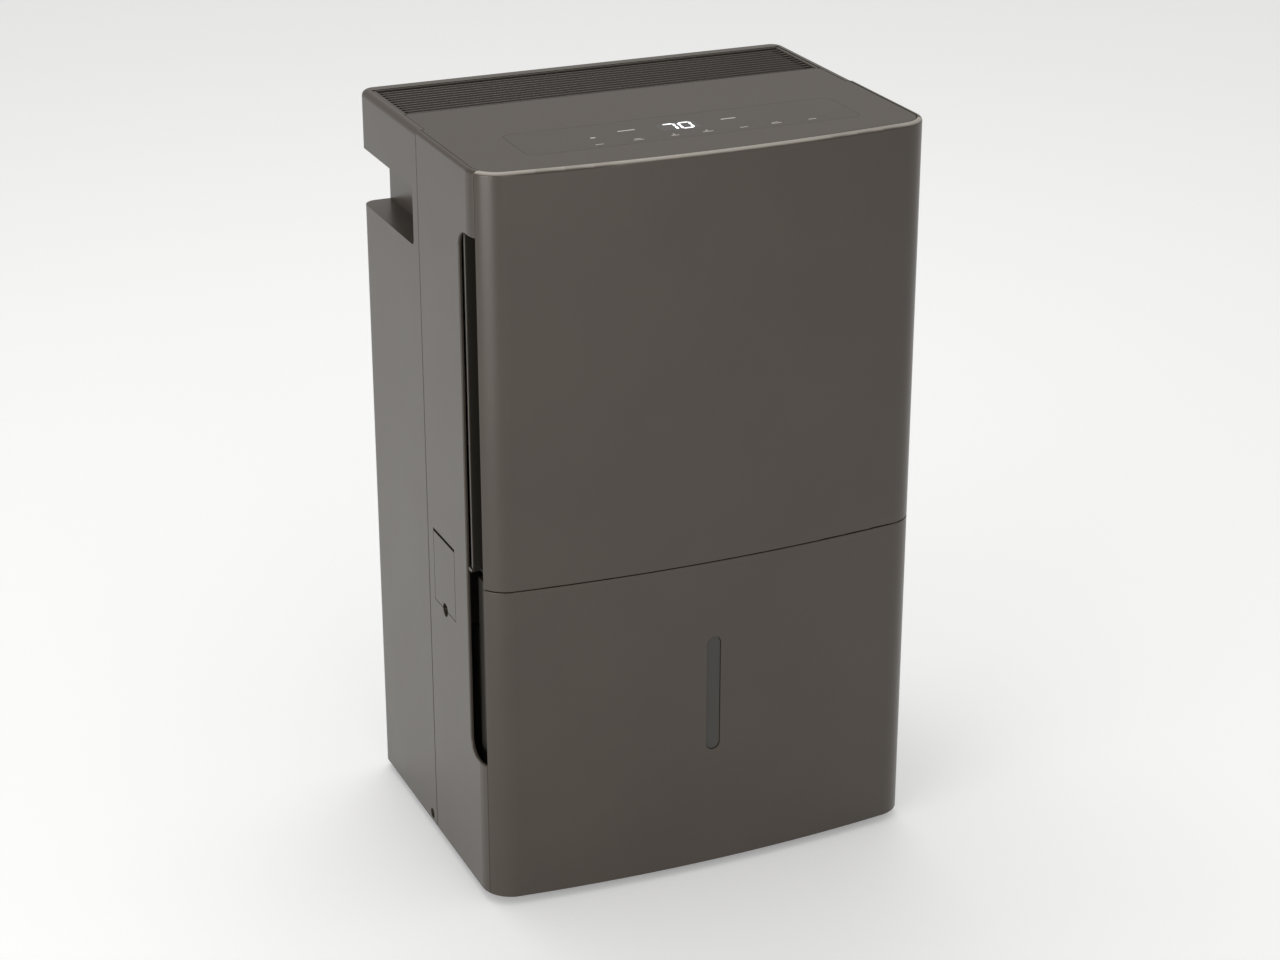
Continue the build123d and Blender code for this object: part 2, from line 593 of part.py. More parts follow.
# ---------------------------------------------------------------- bucket
# A thin-walled tub that slides out of the front, with a clipped-on front panel whose side flanges
# are the finger grips, a clear level strip, a bail handle and a float.
TUB_LOW = 37.5
TUB_HIGH = 228
TUB_HALF_W = 176
TUB_FRONT_Y = -117
TUB_REAR_Y = -9
TUB_R = 14
TUB_WALL = 2.2
FLANGE_X = 182.2
FLANGE = 2.5
FLANGE_REAR_Y = -94
LEVEL_X = 0.8
LEVEL_W = 12.7
LEVEL_LOW = 114.3
LEVEL_HIGH = 218.5
LEVEL_MID_Z = (LEVEL_LOW + LEVEL_HIGH) / 2
BAIL_X = 128
BAIL_ARM = 4
BAIL_Y = -64
BAIL_Z = 234
BAIL_LENGTH = 46
BAIL_PIN_R = 2.5
LUG = 3
FLOAT_X = 150
FLOAT_Y = -34
FLOAT_LOW = 176
FLOAT_HIGH = 204
GUIDE_POST_R = 2.5

with BuildPart() as bucket_tub:
    with BuildSketch(Plane.XY.offset(TUB_LOW)):
        with Locations((0, (TUB_FRONT_Y + TUB_REAR_Y) / 2)):
            RectangleRounded(2 * TUB_HALF_W, TUB_REAR_Y - TUB_FRONT_Y, TUB_R)
    extrude(amount=TUB_HIGH - TUB_LOW)
    fillet(bucket_tub.faces().sort_by(Axis.Z)[0].edges(), 6)
    with BuildSketch(Plane.XY.offset(TUB_LOW + TUB_WALL)):
        with Locations((0, (TUB_FRONT_Y + TUB_REAR_Y) / 2)):
            RectangleRounded(
                2 * (TUB_HALF_W - TUB_WALL), TUB_REAR_Y - TUB_FRONT_Y - 2 * TUB_WALL, TUB_R - TUB_WALL
            )
    extrude(amount=TUB_HIGH - TUB_LOW, mode=Mode.SUBTRACT)
    # lugs for the bail and the guide post of the float
    for side in (-1, 1):
        with BuildSketch(side_plane(side * (BAIL_X + BAIL_ARM / 2 + CLEAR))):
            with Locations((BAIL_Y, BAIL_Z)):
                Circle(6)
            with Locations((BAIL_Y, BAIL_Z - 12)):
                Rectangle(12, 24)
            with Locations((BAIL_Y, BAIL_Z)):
                Circle(BAIL_PIN_R + 0.05, mode=Mode.SUBTRACT)
        extrude(amount=side * LUG)
        with BuildSketch(side_plane(side * (BAIL_X + BAIL_ARM / 2 + CLEAR))):
            with Locations(((TUB_FRONT_Y + TUB_REAR_Y) / 2, BAIL_Z - 16)):
                Rectangle(TUB_REAR_Y - TUB_FRONT_Y - 3, 8)
        extrude(amount=side * LUG)
    for radius, post_top in ((GUIDE_POST_R + 3, FLOAT_LOW - CLEAR), (GUIDE_POST_R, TUB_HIGH - 2)):
        with BuildSketch(Plane.XY.offset(TUB_LOW + 1)):
            with Locations((FLOAT_X, FLOAT_Y)):
                Circle(radius)
        extrude(amount=post_top - TUB_LOW - 1)
bucket_tub.part.label = "bucket_tub"
export_step(bucket_tub.part, "parts/bucket_tub.step")

with BuildPart() as bucket_front:
    with BuildSketch(Plane.XY.offset(FOOT)):
        add(plan_band(0, FRONT_Y - 1, EDGE_Y - GAP))
    extrude(amount=BUCKET_TOP - GAP / 2 - FOOT)
    shut_edges = bucket_front.faces().sort_by(Axis.Z)[-1].edges()
    fillet(shut_edges.sort_by(Axis.Y)[:-1], SEAM_R)
    with BuildSketch(Plane.XY.offset(FOOT - 1)):
        add(plan_band(PANEL, FRONT_Y - 1, EDGE_Y + 1))
    extrude(amount=BUCKET_TOP - PANEL - FOOT, mode=Mode.SUBTRACT)
    for side in (-1, 1):
        with BuildSketch(side_plane(side * FLANGE_X)):
            with Locations(((FLANGE_REAR_Y - 124) / 2, (132 + BUCKET_TOP - GAP) / 2)):
                Rectangle(FLANGE_REAR_Y + 124, BUCKET_TOP - GAP - 132)
        extrude(amount=side * FLANGE)
    with BuildSketch(front_plane(TUB_FRONT_Y - 3)):
        with GridLocations(2 * POST_X, 120, 2, 2):
            with Locations((0, LEVEL_MID_Z)):
                Circle(6)
    extrude(amount=TUB_FRONT_Y - 3 - front_at(POST_X) - PANEL / 2)
    with BuildSketch(front_plane(TUB_FRONT_Y)):
        with Locations((LEVEL_X, LEVEL_MID_Z)):
            SlotOverall(LEVEL_HIGH - LEVEL_LOW, LEVEL_W, rotation=90)
    extrude(amount=40, mode=Mode.SUBTRACT)
bucket_front.part.label = "bucket_front"
export_step(bucket_front.part, "parts/bucket_front.step")

with BuildPart() as level_window:
    with BuildSketch(front_plane(FRONT_Y + PANEL + 1.5)):
        with Locations((LEVEL_X, LEVEL_MID_Z)):
            SlotOverall(LEVEL_HIGH - LEVEL_LOW + 6, LEVEL_W + 6, rotation=90)
    extrude(amount=1.2)
    with BuildSketch(front_plane(FRONT_Y + PANEL + 1)):
        with Locations((LEVEL_X, LEVEL_MID_Z)):
            SlotOverall(LEVEL_HIGH - LEVEL_LOW - 0.8, LEVEL_W - 0.8, rotation=90)
    extrude(amount=PANEL)
level_window.part.label = "level_window"
export_step(level_window.part, "parts/level_window.step")

with BuildPart() as bucket_handle:
    for side in (-1, 1):
        with BuildSketch(side_plane(side * (BAIL_X - BAIL_ARM / 2))):
            with Locations((BAIL_Y, BAIL_Z)):
                Circle(5)
            with Locations((BAIL_Y + BAIL_LENGTH / 2, BAIL_Z)):
                Rectangle(BAIL_LENGTH, 8)
        extrude(amount=side * BAIL_ARM)
        with BuildSketch(side_plane(side * BAIL_X)):
            with Locations((BAIL_Y, BAIL_Z)):
                Circle(BAIL_PIN_R)
        extrude(amount=side * (BAIL_ARM / 2 + LUG + CLEAR))
    with BuildSketch(side_plane(-BAIL_X - BAIL_ARM / 2)):
        with Locations((BAIL_Y + BAIL_LENGTH - 4, BAIL_Z)):
            RectangleRounded(8, 8, 2)
    extrude(amount=2 * BAIL_X + BAIL_ARM)
bucket_handle.part.label = "bucket_handle"
export_step(bucket_handle.part, "parts/bucket_handle.step")

with BuildPart() as bucket_float:
    with BuildSketch(Plane.XY.offset(FLOAT_LOW)):
        with Locations((FLOAT_X, FLOAT_Y)):
            RectangleRounded(30, 30, 4)
            Circle(GUIDE_POST_R + 0.08, mode=Mode.SUBTRACT)
    extrude(amount=FLOAT_HIGH - FLOAT_LOW)
bucket_float.part.label = "bucket_float"
export_step(bucket_float.part, "parts/bucket_float.step")

# ---------------------------------------------------------------- drain port
# A flap in the left wall, hinged at its top on a steel pin. Behind it a capped spout, fed by a
# rubber elbow from the drip tray.
DOOR = 3
KNUCKLE_R = 3.2
CAP_R = 12.5
CAP_LENGTH = 17
SPOUT_OUT = 16
SPOUT_BORE_R = 7.5
POCKET_BACK_X = -HALF_W + POCKET
TRAY_LOW = 303.5

with BuildPart() as drain_door:
    with BuildSketch(side_plane(-HALF_W)):
        with Locations((DOOR_MID_Y, (DOOR_LOW + DOOR_GAP + DOOR_HIGH - DOOR_TOP_GAP) / 2)):
            Rectangle(
                DOOR_REAR_Y - DOOR_FRONT_Y - 2 * DOOR_GAP,
                DOOR_HIGH - DOOR_TOP_GAP - DOOR_LOW - DOOR_GAP,
            )
        with Locations((DOOR_MID_Y, DOOR_LOW)):
            Circle(NOTCH_R + DOOR_GAP, mode=Mode.SUBTRACT)
    extrude(amount=DOOR)
    with BuildSketch(front_plane(DOOR_REAR_Y - 2)) as knuckle:
        with Locations((HINGE_X, HINGE_Z)):
            Circle(KNUCKLE_R)
            with Locations((-KNUCKLE_R / 2, 0)):
                Rectangle(KNUCKLE_R, 2 * KNUCKLE_R)
    extrude(amount=12)
    with BuildSketch(front_plane(DOOR_FRONT_Y + 14)):
        add(knuckle.sketch_local)
    extrude(amount=12)
    with BuildSketch(side_plane(-HALF_W)):
        with Locations((DOOR_MID_Y, HINGE_Z)):
            Rectangle(DEPTH, 4 * KNUCKLE_R)
    extrude(amount=-10, mode=Mode.SUBTRACT)
    with BuildSketch(front_plane(DOOR_REAR_Y)):
        with Locations((HINGE_X, HINGE_Z)):
            Circle(PIN_R + 0.05)
    extrude(amount=60, mode=Mode.SUBTRACT)
drain_door.part.label = "drain_door"
export_step(drain_door.part, "parts/drain_door.step")

with BuildPart() as drain_door_pin:
    with BuildSketch(front_plane(DOOR_REAR_Y + POCKET_WALL - 0.2)):
        with Locations((HINGE_X, HINGE_Z)):
            Circle(PIN_R - 0.02)
    extrude(amount=DOOR_REAR_Y - DOOR_FRONT_Y + 2 * POCKET_WALL - 0.4)
drain_door_pin.part.label = "drain_door_pin"
export_step(drain_door_pin.part, "parts/drain_door_pin.step")

with BuildPart() as drain_elbow:
    with BuildLine() as elbow_path:
        FilletPolyline(
            (POCKET_BACK_X - SPOUT_OUT, DOOR_MID_Y, SPOUT_Z),
            (ELBOW_X, DOOR_MID_Y, SPOUT_Z),
            (ELBOW_X, DOOR_MID_Y, TRAY_LOW - CLEAR),
            radius=10.5,
        )
    with BuildSketch(elbow_path.line ^ 0):
        Circle(SPOUT_R - 0.5)
        Circle(SPOUT_BORE_R, mode=Mode.SUBTRACT)
    sweep()
    with BuildSketch(side_plane(POCKET_BACK_X + CLEAR)):
        with Locations((DOOR_MID_Y, SPOUT_Z)):
            Circle(SPOUT_R + 3)
            Circle(SPOUT_BORE_R, mode=Mode.SUBTRACT)
    extrude(amount=2.5)
drain_elbow.part.label = "drain_elbow"
export_step(drain_elbow.part, "parts/drain_elbow.step")

with BuildPart() as drain_cap:
    with BuildSketch(side_plane(POCKET_BACK_X - POCKET_WALL - CLEAR)):
        with Locations((DOOR_MID_Y, SPOUT_Z)):
            Circle(CAP_R)
            with PolarLocations(CAP_R, 16):
                Circle(0.8, mode=Mode.SUBTRACT)
    extrude(amount=-CAP_LENGTH)
    with BuildSketch(side_plane(POCKET_BACK_X)):
        with Locations((DOOR_MID_Y, SPOUT_Z)):
            Circle(SPOUT_R - 0.5 + 0.06)
    extrude(amount=-CAP_LENGTH, mode=Mode.SUBTRACT)
drain_cap.part.label = "drain_cap"
export_step(drain_cap.part, "parts/drain_cap.step")

# ---------------------------------------------------------------- air filter
# A washable mesh in a ribbed plastic frame. It slides out of the right-hand slot by its tab.
FILTER_LEFT_X = -176
FILTER_RIGHT_X = 181
FILTER_BAR = 7
FILTER_MID_X = (FILTER_LEFT_X + FILTER_RIGHT_X) / 2
FILTER_MID_Z = (FILTER_LOW + FILTER_HIGH) / 2
FILTER_W = FILTER_RIGHT_X - FILTER_LEFT_X
FILTER_H = FILTER_HIGH - FILTER_LOW - 1
MESH = 0.8

with BuildPart() as filter_frame:
    with BuildSketch(front_plane(FILTER_REAR_Y)):
        with Locations((FILTER_MID_X, FILTER_MID_Z)):
            Rectangle(FILTER_W, FILTER_H)
            Rectangle(FILTER_W - 2 * FILTER_BAR, FILTER_H - 2 * FILTER_BAR, mode=Mode.SUBTRACT)
            with GridLocations(FILTER_W / 6, 0, 5, 1):
                Rectangle(3, FILTER_H - FILTER_BAR)
            with GridLocations(0, FILTER_H / 4, 1, 3):
                Rectangle(FILTER_W - FILTER_BAR, 3)
    extrude(amount=FILTER_REAR_Y - FILTER_FRONT_Y - MESH - CLEAR)
    with BuildSketch(side_plane(FILTER_RIGHT_X - 3)):
        with Locations(((FILTER_FRONT_Y + FILTER_REAR_Y) / 2, FILTER_MID_Z)):
            RectangleRounded(4, 46, 1.5)
    extrude(amount=12)
filter_frame.part.label = "filter_frame"
export_step(filter_frame.part, "parts/filter_frame.step")

with BuildPart() as filter_mesh:
    with BuildSketch(front_plane(FILTER_FRONT_Y + MESH + 0.2)):
        with Locations((FILTER_MID_X - 2, FILTER_MID_Z)):
            Rectangle(FILTER_W - 5, FILTER_H - 8)
    extrude(amount=MESH)
filter_mesh.part.label = "filter_mesh"
export_step(filter_mesh.part, "parts/filter_mesh.step")

# ---------------------------------------------------------------- coils
# The cold evaporator in front and the warm condenser behind it: one serpentine tube each through a
# pack of aluminium fins.
COIL_LOW = 332
COIL_HIGH = 560
COIL_HALF_W = 126
COIL_D = 24
TUBE_R = 4.7
TUBE_ROWS = 8
TUBE_WALL = 0.8
FINS = 42
FIN = 1
COIL_MID_Z = (COIL_LOW + COIL_HIGH) / 2
TUBE_PITCH = (COIL_HIGH - COIL_LOW) / TUBE_ROWS
EVAPORATOR_Y = -78
CONDENSER_Y = -48
BEND_X = 140

for coil_name, coil_y in (("evaporator", EVAPORATOR_Y), ("condenser", CONDENSER_Y)):
    with BuildPart() as fins:
        with BuildSketch(front_plane(coil_y + COIL_D / 2)):
            with Locations((0, COIL_MID_Z)):
                with GridLocations(2 * COIL_HALF_W / FINS, 0, FINS, 1):
                    Rectangle(FIN, COIL_HIGH - COIL_LOW)
                with GridLocations(0, COIL_HIGH - COIL_LOW - FIN, 1, 2):
                    Rectangle(2 * COIL_HALF_W - 2, FIN)
        extrude(amount=COIL_D)
        with BuildSketch(side_plane(-COIL_HALF_W)):
            with Locations((coil_y, COIL_MID_Z)):
                with GridLocations(0, TUBE_PITCH, 1, TUBE_ROWS):
                    Circle(TUBE_R + 0.05)
        extrude(amount=2 * COIL_HALF_W, mode=Mode.SUBTRACT)
    fins.part.label = f"{coil_name}_fins"
    export_step(fins.part, f"parts/{coil_name}_fins.step")

    with BuildPart() as tube:
        turns = [(BEND_X, COIL_MID_Z - TUBE_PITCH * (TUBE_ROWS - 1) / 2)]
        for row in range(TUBE_ROWS - 1):
            row_z = COIL_MID_Z + TUBE_PITCH * (row - (TUBE_ROWS - 1) / 2)
            turn_x = -BEND_X if row % 2 == 0 else BEND_X
            turns += [(turn_x, row_z), (turn_x, row_z + TUBE_PITCH)]
        turns.append((BEND_X, COIL_MID_Z + TUBE_PITCH * (TUBE_ROWS - 1) / 2))
        with BuildLine(front_plane(coil_y)) as serpentine:
            FilletPolyline(*turns, radius=TUBE_PITCH / 2 - 4)
        with BuildSketch(serpentine.line ^ 0):
            Circle(TUBE_R)
            Circle(TUBE_R - TUBE_WALL, mode=Mode.SUBTRACT)
        sweep()
    tube.part.label = f"{coil_name}_tube"
    export_step(tube.part, f"parts/{coil_name}_tube.step")

# ---------------------------------------------------------------- coil housing and drip tray
HOUSING_HALF_W = 152
HOUSING_FRONT_Y = -93
HOUSING_BACK_Y = -30
HOUSING_TOP = 566
HOUSING = 2.5
INLET_R = 84
FAN_Z = 428
TRAY_HIGH = 329
TRAY_HALF_W = 157
DRIP_SPOUT_LOW = 284

with BuildPart() as coil_housing:
    with BuildSketch(front_plane(HOUSING_BACK_Y)):
        with Locations((0, (TRAY_HIGH + 1 + HOUSING_TOP) / 2)):
            Rectangle(2 * HOUSING_HALF_W, HOUSING_TOP - TRAY_HIGH - 1)
    extrude(amount=HOUSING_BACK_Y - HOUSING_FRONT_Y)
    with BuildSketch(front_plane(HOUSING_BACK_Y - HOUSING)):
        with Locations((0, (HOUSING_TOP - HOUSING) / 2)):
            Rectangle(2 * (HOUSING_HALF_W - HOUSING), HOUSING_TOP - HOUSING)
    extrude(amount=DEPTH, mode=Mode.SUBTRACT)
    with BuildSketch(front_plane(HOUSING_BACK_Y + 8)):
        with Locations((0, FAN_Z)):
            Circle(INLET_R + HOUSING)
    extrude(amount=8)
    with BuildSketch(front_plane(HOUSING_BACK_Y + 8)):
        with Locations((0, FAN_Z)):
            Circle(INLET_R)
    extrude(amount=20, mode=Mode.SUBTRACT)
    for coil_y in (EVAPORATOR_Y, CONDENSER_Y):
        with BuildSketch(side_plane(HOUSING_HALF_W - HOUSING - 1)):
            for end in (-1, 1):
                with Locations((coil_y, COIL_MID_Z + end * TUBE_PITCH * (TUBE_ROWS - 1) / 2)):
                    Circle(6)
        extrude(amount=HOUSING + 2, mode=Mode.SUBTRACT)
coil_housing.part.label = "coil_housing"
export_step(coil_housing.part, "parts/coil_housing.step")

with BuildPart() as drip_tray:
    with BuildSketch(Plane.XY.offset(TRAY_LOW)):
        with Locations((0, (HOUSING_FRONT_Y + HOUSING_BACK_Y) / 2)):
            RectangleRounded(2 * TRAY_HALF_W, HOUSING_BACK_Y - HOUSING_FRONT_Y, 4)
    extrude(amount=TRAY_HIGH - TRAY_LOW)
    with BuildSketch(Plane.XY.offset(TRAY_LOW + HOUSING)):
        with Locations((0, (HOUSING_FRONT_Y + HOUSING_BACK_Y) / 2)):
            RectangleRounded(
                2 * (TRAY_HALF_W - HOUSING), HOUSING_BACK_Y - HOUSING_FRONT_Y - 2 * HOUSING, 2
            )
    extrude(amount=TRAY_HIGH, mode=Mode.SUBTRACT)
    with BuildSketch(Plane.XY.offset(TRAY_LOW + HOUSING)):
        with Locations((0, DRIP_Y)):
            Circle(DRIP_HOLE_R - 1)
        with Locations((ELBOW_X, DOOR_MID_Y)):
            Circle(SPOUT_BORE_R - 0.1)
    extrude(amount=-16)
    with BuildSketch(Plane.XY.offset(DRIP_SPOUT_LOW)):
        with Locations((0, DRIP_Y)):
            Circle(DRIP_HOLE_R - 1)
    extrude(amount=TRAY_LOW - DRIP_SPOUT_LOW)
    with BuildSketch(Plane.XY.offset(DRIP_SPOUT_LOW - 1)):
        with Locations((0, DRIP_Y)):
            Circle(DRIP_HOLE_R - 3)
        with Locations((ELBOW_X, DOOR_MID_Y)):
            Circle(SPOUT_BORE_R - 2)
    extrude(amount=TRAY_LOW + HOUSING - DRIP_SPOUT_LOW + 2, mode=Mode.SUBTRACT)
drip_tray.part.label = "drip_tray"
export_step(drip_tray.part, "parts/drip_tray.step")

# ---------------------------------------------------------------- fan
# A squirrel-cage wheel draws the air through the coils and a scroll turns it upwards. The motor
# stands on the scroll's back wall.
WHEEL_FAN_R = 100
BLADE_INNER_R = 82
BLADES = 24
FAN_FRONT_Y = -18
FAN_REAR_Y = 62
SHAFT_R = 4
MOTOR_R = 42
MOTOR_REAR_Y = 122
SCROLL_FRONT_Y = -29
SCROLL_TOP = 560
SCROLL_RIGHT = 140
SCROLL_LEFT = -24
SCROLL_START = 112
SCROLL_WALL = 2.5


def scroll_section(grow):
    """The scroll seen from the front: a widening spiral that ends in an outlet pointing up."""
    spiral_points = []
    for turn in range(10):
        arm = Vector(SCROLL_START + grow + (SCROLL_RIGHT - SCROLL_START) * turn / 9, 0)
        spiral_points.append(Vector(0, FAN_Z) + arm.rotate(Axis.Z, 90 + 30 * turn))
    with BuildSketch() as section:
        with BuildLine():
            spiral = Spline(*spiral_points)
            Polyline(
                spiral @ 1,
                (SCROLL_RIGHT + grow, SCROLL_TOP),
                (SCROLL_LEFT - grow, SCROLL_TOP),
                spiral @ 0,
            )
        make_face()
    return section.sketch


with BuildPart() as fan_housing:
    with BuildSketch(front_plane(HOUSING_REAR_Y)):
        add(scroll_section(SCROLL_WALL))
        with Locations((0, (BACK_SCREWS[0][1] + BACK_SCREWS[1][1]) / 2)):
            Rectangle(2 * (BACK_SCREWS[-1][0] + 7), BACK_SCREWS[1][1] - BACK_SCREWS[0][1] + 16)
    extrude(amount=SCROLL_WALL)
    with BuildSketch(front_plane(HOUSING_REAR_Y)):
        add(scroll_section(SCROLL_WALL))
        add(scroll_section(0), mode=Mode.SUBTRACT)
        with Locations(((SCROLL_LEFT + SCROLL_RIGHT) / 2, SCROLL_TOP)):
            Rectangle(SCROLL_RIGHT - SCROLL_LEFT - 4, 8, mode=Mode.SUBTRACT)
    extrude(amount=HOUSING_REAR_Y - SCROLL_FRONT_Y)
    with BuildSketch(front_plane(HOUSING_REAR_Y)):
        with Locations((0, FAN_Z)):
            Circle(SHAFT_R + 6)
            with PolarLocations(MOTOR_R - 6, 3, start_angle=90):
                Circle(SCREW_HOLE_R)
        with Locations(*BACK_SCREWS):
            Circle(SCREW_HOLE_R)
    extrude(amount=SCROLL_WALL, mode=Mode.SUBTRACT)
fan_housing.part.label = "fan_housing"
export_step(fan_housing.part, "parts/fan_housing.step")

with BuildPart() as blower_wheel:
    with BuildSketch(front_plane(FAN_REAR_Y)):
        with Locations((0, FAN_Z)):
            Circle(WHEEL_FAN_R)
    extrude(amount=2)
    with BuildSketch(front_plane(FAN_FRONT_Y + 4)):
        with Locations((0, FAN_Z)):
            Circle(WHEEL_FAN_R)
            Circle(BLADE_INNER_R + 6, mode=Mode.SUBTRACT)
    extrude(amount=4)
    with BuildSketch(front_plane(FAN_REAR_Y)):
        with Locations((0, FAN_Z)):
            with PolarLocations((WHEEL_FAN_R + BLADE_INNER_R) / 2, BLADES):
                Rectangle(WHEEL_FAN_R - BLADE_INNER_R - 1, 1.6, rotation=38)
    extrude(amount=FAN_REAR_Y - FAN_FRONT_Y - 2)
    with BuildSketch(front_plane(FAN_REAR_Y)):
        with Locations((0, FAN_Z)):
            Circle(14)
    extrude(amount=20)
    with BuildSketch(front_plane(FAN_REAR_Y)):
        with Locations((0, FAN_Z)):
            Circle(SHAFT_R)
    extrude(amount=18, mode=Mode.SUBTRACT)
blower_wheel.part.label = "blower_wheel"
export_step(blower_wheel.part, "parts/blower_wheel.step")

with BuildPart() as motor_shaft:
    with BuildSketch(front_plane(MOTOR_REAR_Y - 4)):
        with Locations((0, FAN_Z)):
            Circle(SHAFT_R - 0.02)
    extrude(amount=MOTOR_REAR_Y - 4 - FAN_REAR_Y + 17)
motor_shaft.part.label = "motor_shaft"
export_step(motor_shaft.part, "parts/motor_shaft.step")

with BuildPart() as fan_motor:
    with BuildSketch(front_plane(MOTOR_REAR_Y)):
        with Locations((0, FAN_Z)):
            Circle(MOTOR_R)
    extrude(amount=MOTOR_REAR_Y - HOUSING_REAR_Y - CLEAR)
    can_rims = fan_motor.edges().filter_by(GeomType.CIRCLE)
    fillet(can_rims, 4)
    with BuildSketch(front_plane(MOTOR_REAR_Y - 18)):
        with Locations((0, FAN_Z)):
            Circle(MOTOR_R + 2)
    extrude(amount=3)
    with BuildSketch(front_plane(MOTOR_REAR_Y - 3)):
        with Locations((0, FAN_Z)):
            Circle(SHAFT_R + 0.05)
    extrude(amount=MOTOR_REAR_Y - HOUSING_REAR_Y, mode=Mode.SUBTRACT)
fan_motor.part.label = "fan_motor"
export_step(fan_motor.part, "parts/fan_motor.step")

# The duct that spreads the air from the scroll to the whole grille.
DUCT_LOW = SCROLL_TOP + SCROLL_WALL + 0.8
DUCT_HIGH = HEIGHT - GRILLE - 1
DUCT_HALF_W = 176

with BuildPart() as outlet_duct:
    for grow, mode in ((0, Mode.ADD), (-2.2, Mode.SUBTRACT)):
        with BuildSketch(Plane.XY.offset(DUCT_LOW)):
            with Locations(
                ((SCROLL_RIGHT + SCROLL_LEFT) / 2, (SCROLL_FRONT_Y + HOUSING_REAR_Y) / 2)
            ):
                RectangleRounded(
                    SCROLL_RIGHT - SCROLL_LEFT + 4 + 2 * grow,
                    HOUSING_REAR_Y - SCROLL_FRONT_Y + 2 * grow,
                    4 + grow,
                )
        with BuildSketch(Plane.XY.offset(DUCT_HIGH)):
            with Locations((0, GRILLE_MID_Y)):
                RectangleRounded(2 * (DUCT_HALF_W + grow), GRILLE_D + 2 * grow, 4 + grow)
        loft(mode=mode)
outlet_duct.part.label = "outlet_duct"
export_step(outlet_duct.part, "parts/outlet_duct.step")

# ---------------------------------------------------------------- compressor and its pipes
# A hermetic rotary compressor on three rubber grommets, with its suction accumulator beside it.
SHELL_R = 50
SHELL_LOW = 54
SHELL_HIGH = 226
FOOT_Z = 50
ACCUMULATOR_X = 24
ACCUMULATOR_Y = 60
ACCUMULATOR_R = 17
PIPE_R = 3.5
FEET = 3

with BuildPart() as compressor:
    with BuildSketch(Plane.XY.offset(SHELL_LOW)):
        with Locations((COMPRESSOR_X, COMPRESSOR_Y)):
            Circle(SHELL_R)
    extrude(amount=SHELL_HIGH - SHELL_LOW)
    fillet(compressor.edges().filter_by(GeomType.CIRCLE), 16)
    with BuildSketch(Plane.XY.offset(SHELL_HIGH - 40)):
        with Locations((COMPRESSOR_X, COMPRESSOR_Y)):
            Circle(SHELL_R + 1.5)
    extrude(amount=8)
    with BuildSketch(Plane.XY.offset(FOOT_Z)):
        with Locations((COMPRESSOR_X, COMPRESSOR_Y)):
            Circle(38)
            with PolarLocations(FOOT_RING / 2, FEET, start_angle=90):
                Rectangle(FOOT_RING, 20)
            with PolarLocations(FOOT_RING, FEET, start_angle=90):
                Circle(10)
                Circle(5.5, mode=Mode.SUBTRACT)
    extrude(amount=3)
    with BuildSketch(Plane.XY.offset(FOOT_Z)):
        with Locations((COMPRESSOR_X, COMPRESSOR_Y)):
            Circle(SHELL_R - 16)
    extrude(amount=SHELL_LOW + 2 - FOOT_Z)
compressor.part.label = "compressor"
export_step(compressor.part, "parts/compressor.step")

FOOT_SPOTS = [
    Vector(COMPRESSOR_X, COMPRESSOR_Y) + Vector(FOOT_RING, 0).rotate(Axis.Z, angle)
    for angle in (90, 210, 330)
]

with BuildPart() as compressor_grommets:
    for spot in FOOT_SPOTS:
        with BuildSketch(Plane.XY.offset(BASE_TOP + 5.2)):
            with Locations(spot):
                Circle(8)
        extrude(amount=FOOT_Z - BASE_TOP - 5.4)
        with BuildSketch(Plane.XY.offset(BASE_TOP + 5.2)):
            with Locations(spot):
                Circle(5.2)
        extrude(amount=FOOT_Z - BASE_TOP)
        with BuildSketch(Plane.XY.offset(BASE_TOP)):
            with Locations(spot):
                Circle(2.6)
        extrude(amount=40, mode=Mode.SUBTRACT)
compressor_grommets.part.label = "compressor_grommets"
export_step(compressor_grommets.part, "parts/compressor_grommets.step")

with BuildPart() as compressor_bolts:
    for spot in FOOT_SPOTS:
        with BuildSketch(Plane.XY.offset(BASE_TOP - 4)):
            with Locations(spot):
                Circle(2.45)
        extrude(amount=FOOT_Z + 5.6 - BASE_TOP + 4)
        with BuildSketch(Plane.XY.offset(FOOT_Z + 5.6)):
            with Locations(spot):
                Circle(7)
        extrude(amount=1)
        with BuildSketch(Plane.XY.offset(FOOT_Z + 6.6)):
            with Locations(spot):
                RegularPolygon(4.6, 6)
        extrude(amount=3)
compressor_bolts.part.label = "compressor_bolts"
export_step(compressor_bolts.part, "parts/compressor_bolts.step")

with BuildPart() as terminal_cover:
    with BuildSketch(Plane.XY.offset(SHELL_HIGH + 0.5)):
        with Locations((COMPRESSOR_X, COMPRESSOR_Y)):
            RectangleRounded(38, 30, 5)
    extrude(amount=18)
    fillet(terminal_cover.faces().sort_by(Axis.Z)[-1].edges(), 3)
terminal_cover.part.label = "terminal_cover"
export_step(terminal_cover.part, "parts/terminal_cover.step")

with BuildPart() as accumulator:
    with BuildSketch(Plane.XY.offset(SHELL_LOW + 26)):
        with Locations((ACCUMULATOR_X, ACCUMULATOR_Y)):
            Circle(ACCUMULATOR_R)
    extrude(amount=110)
    fillet(accumulator.edges().filter_by(GeomType.CIRCLE), 9)
accumulator.part.label = "accumulator"
export_step(accumulator.part, "parts/accumulator.step")

# The pipes rise to the coils between the coil housing and the right side wall.
RISER_X = 181
RISER_Y = 28
DISCHARGE_X = 172
DISCHARGE_Y = 7
LOW_TUBE_Z = COIL_MID_Z - TUBE_PITCH * (TUBE_ROWS - 1) / 2
HIGH_TUBE_Z = COIL_MID_Z + TUBE_PITCH * (TUBE_ROWS - 1) / 2
TUBE_END_X = BEND_X + 0.3

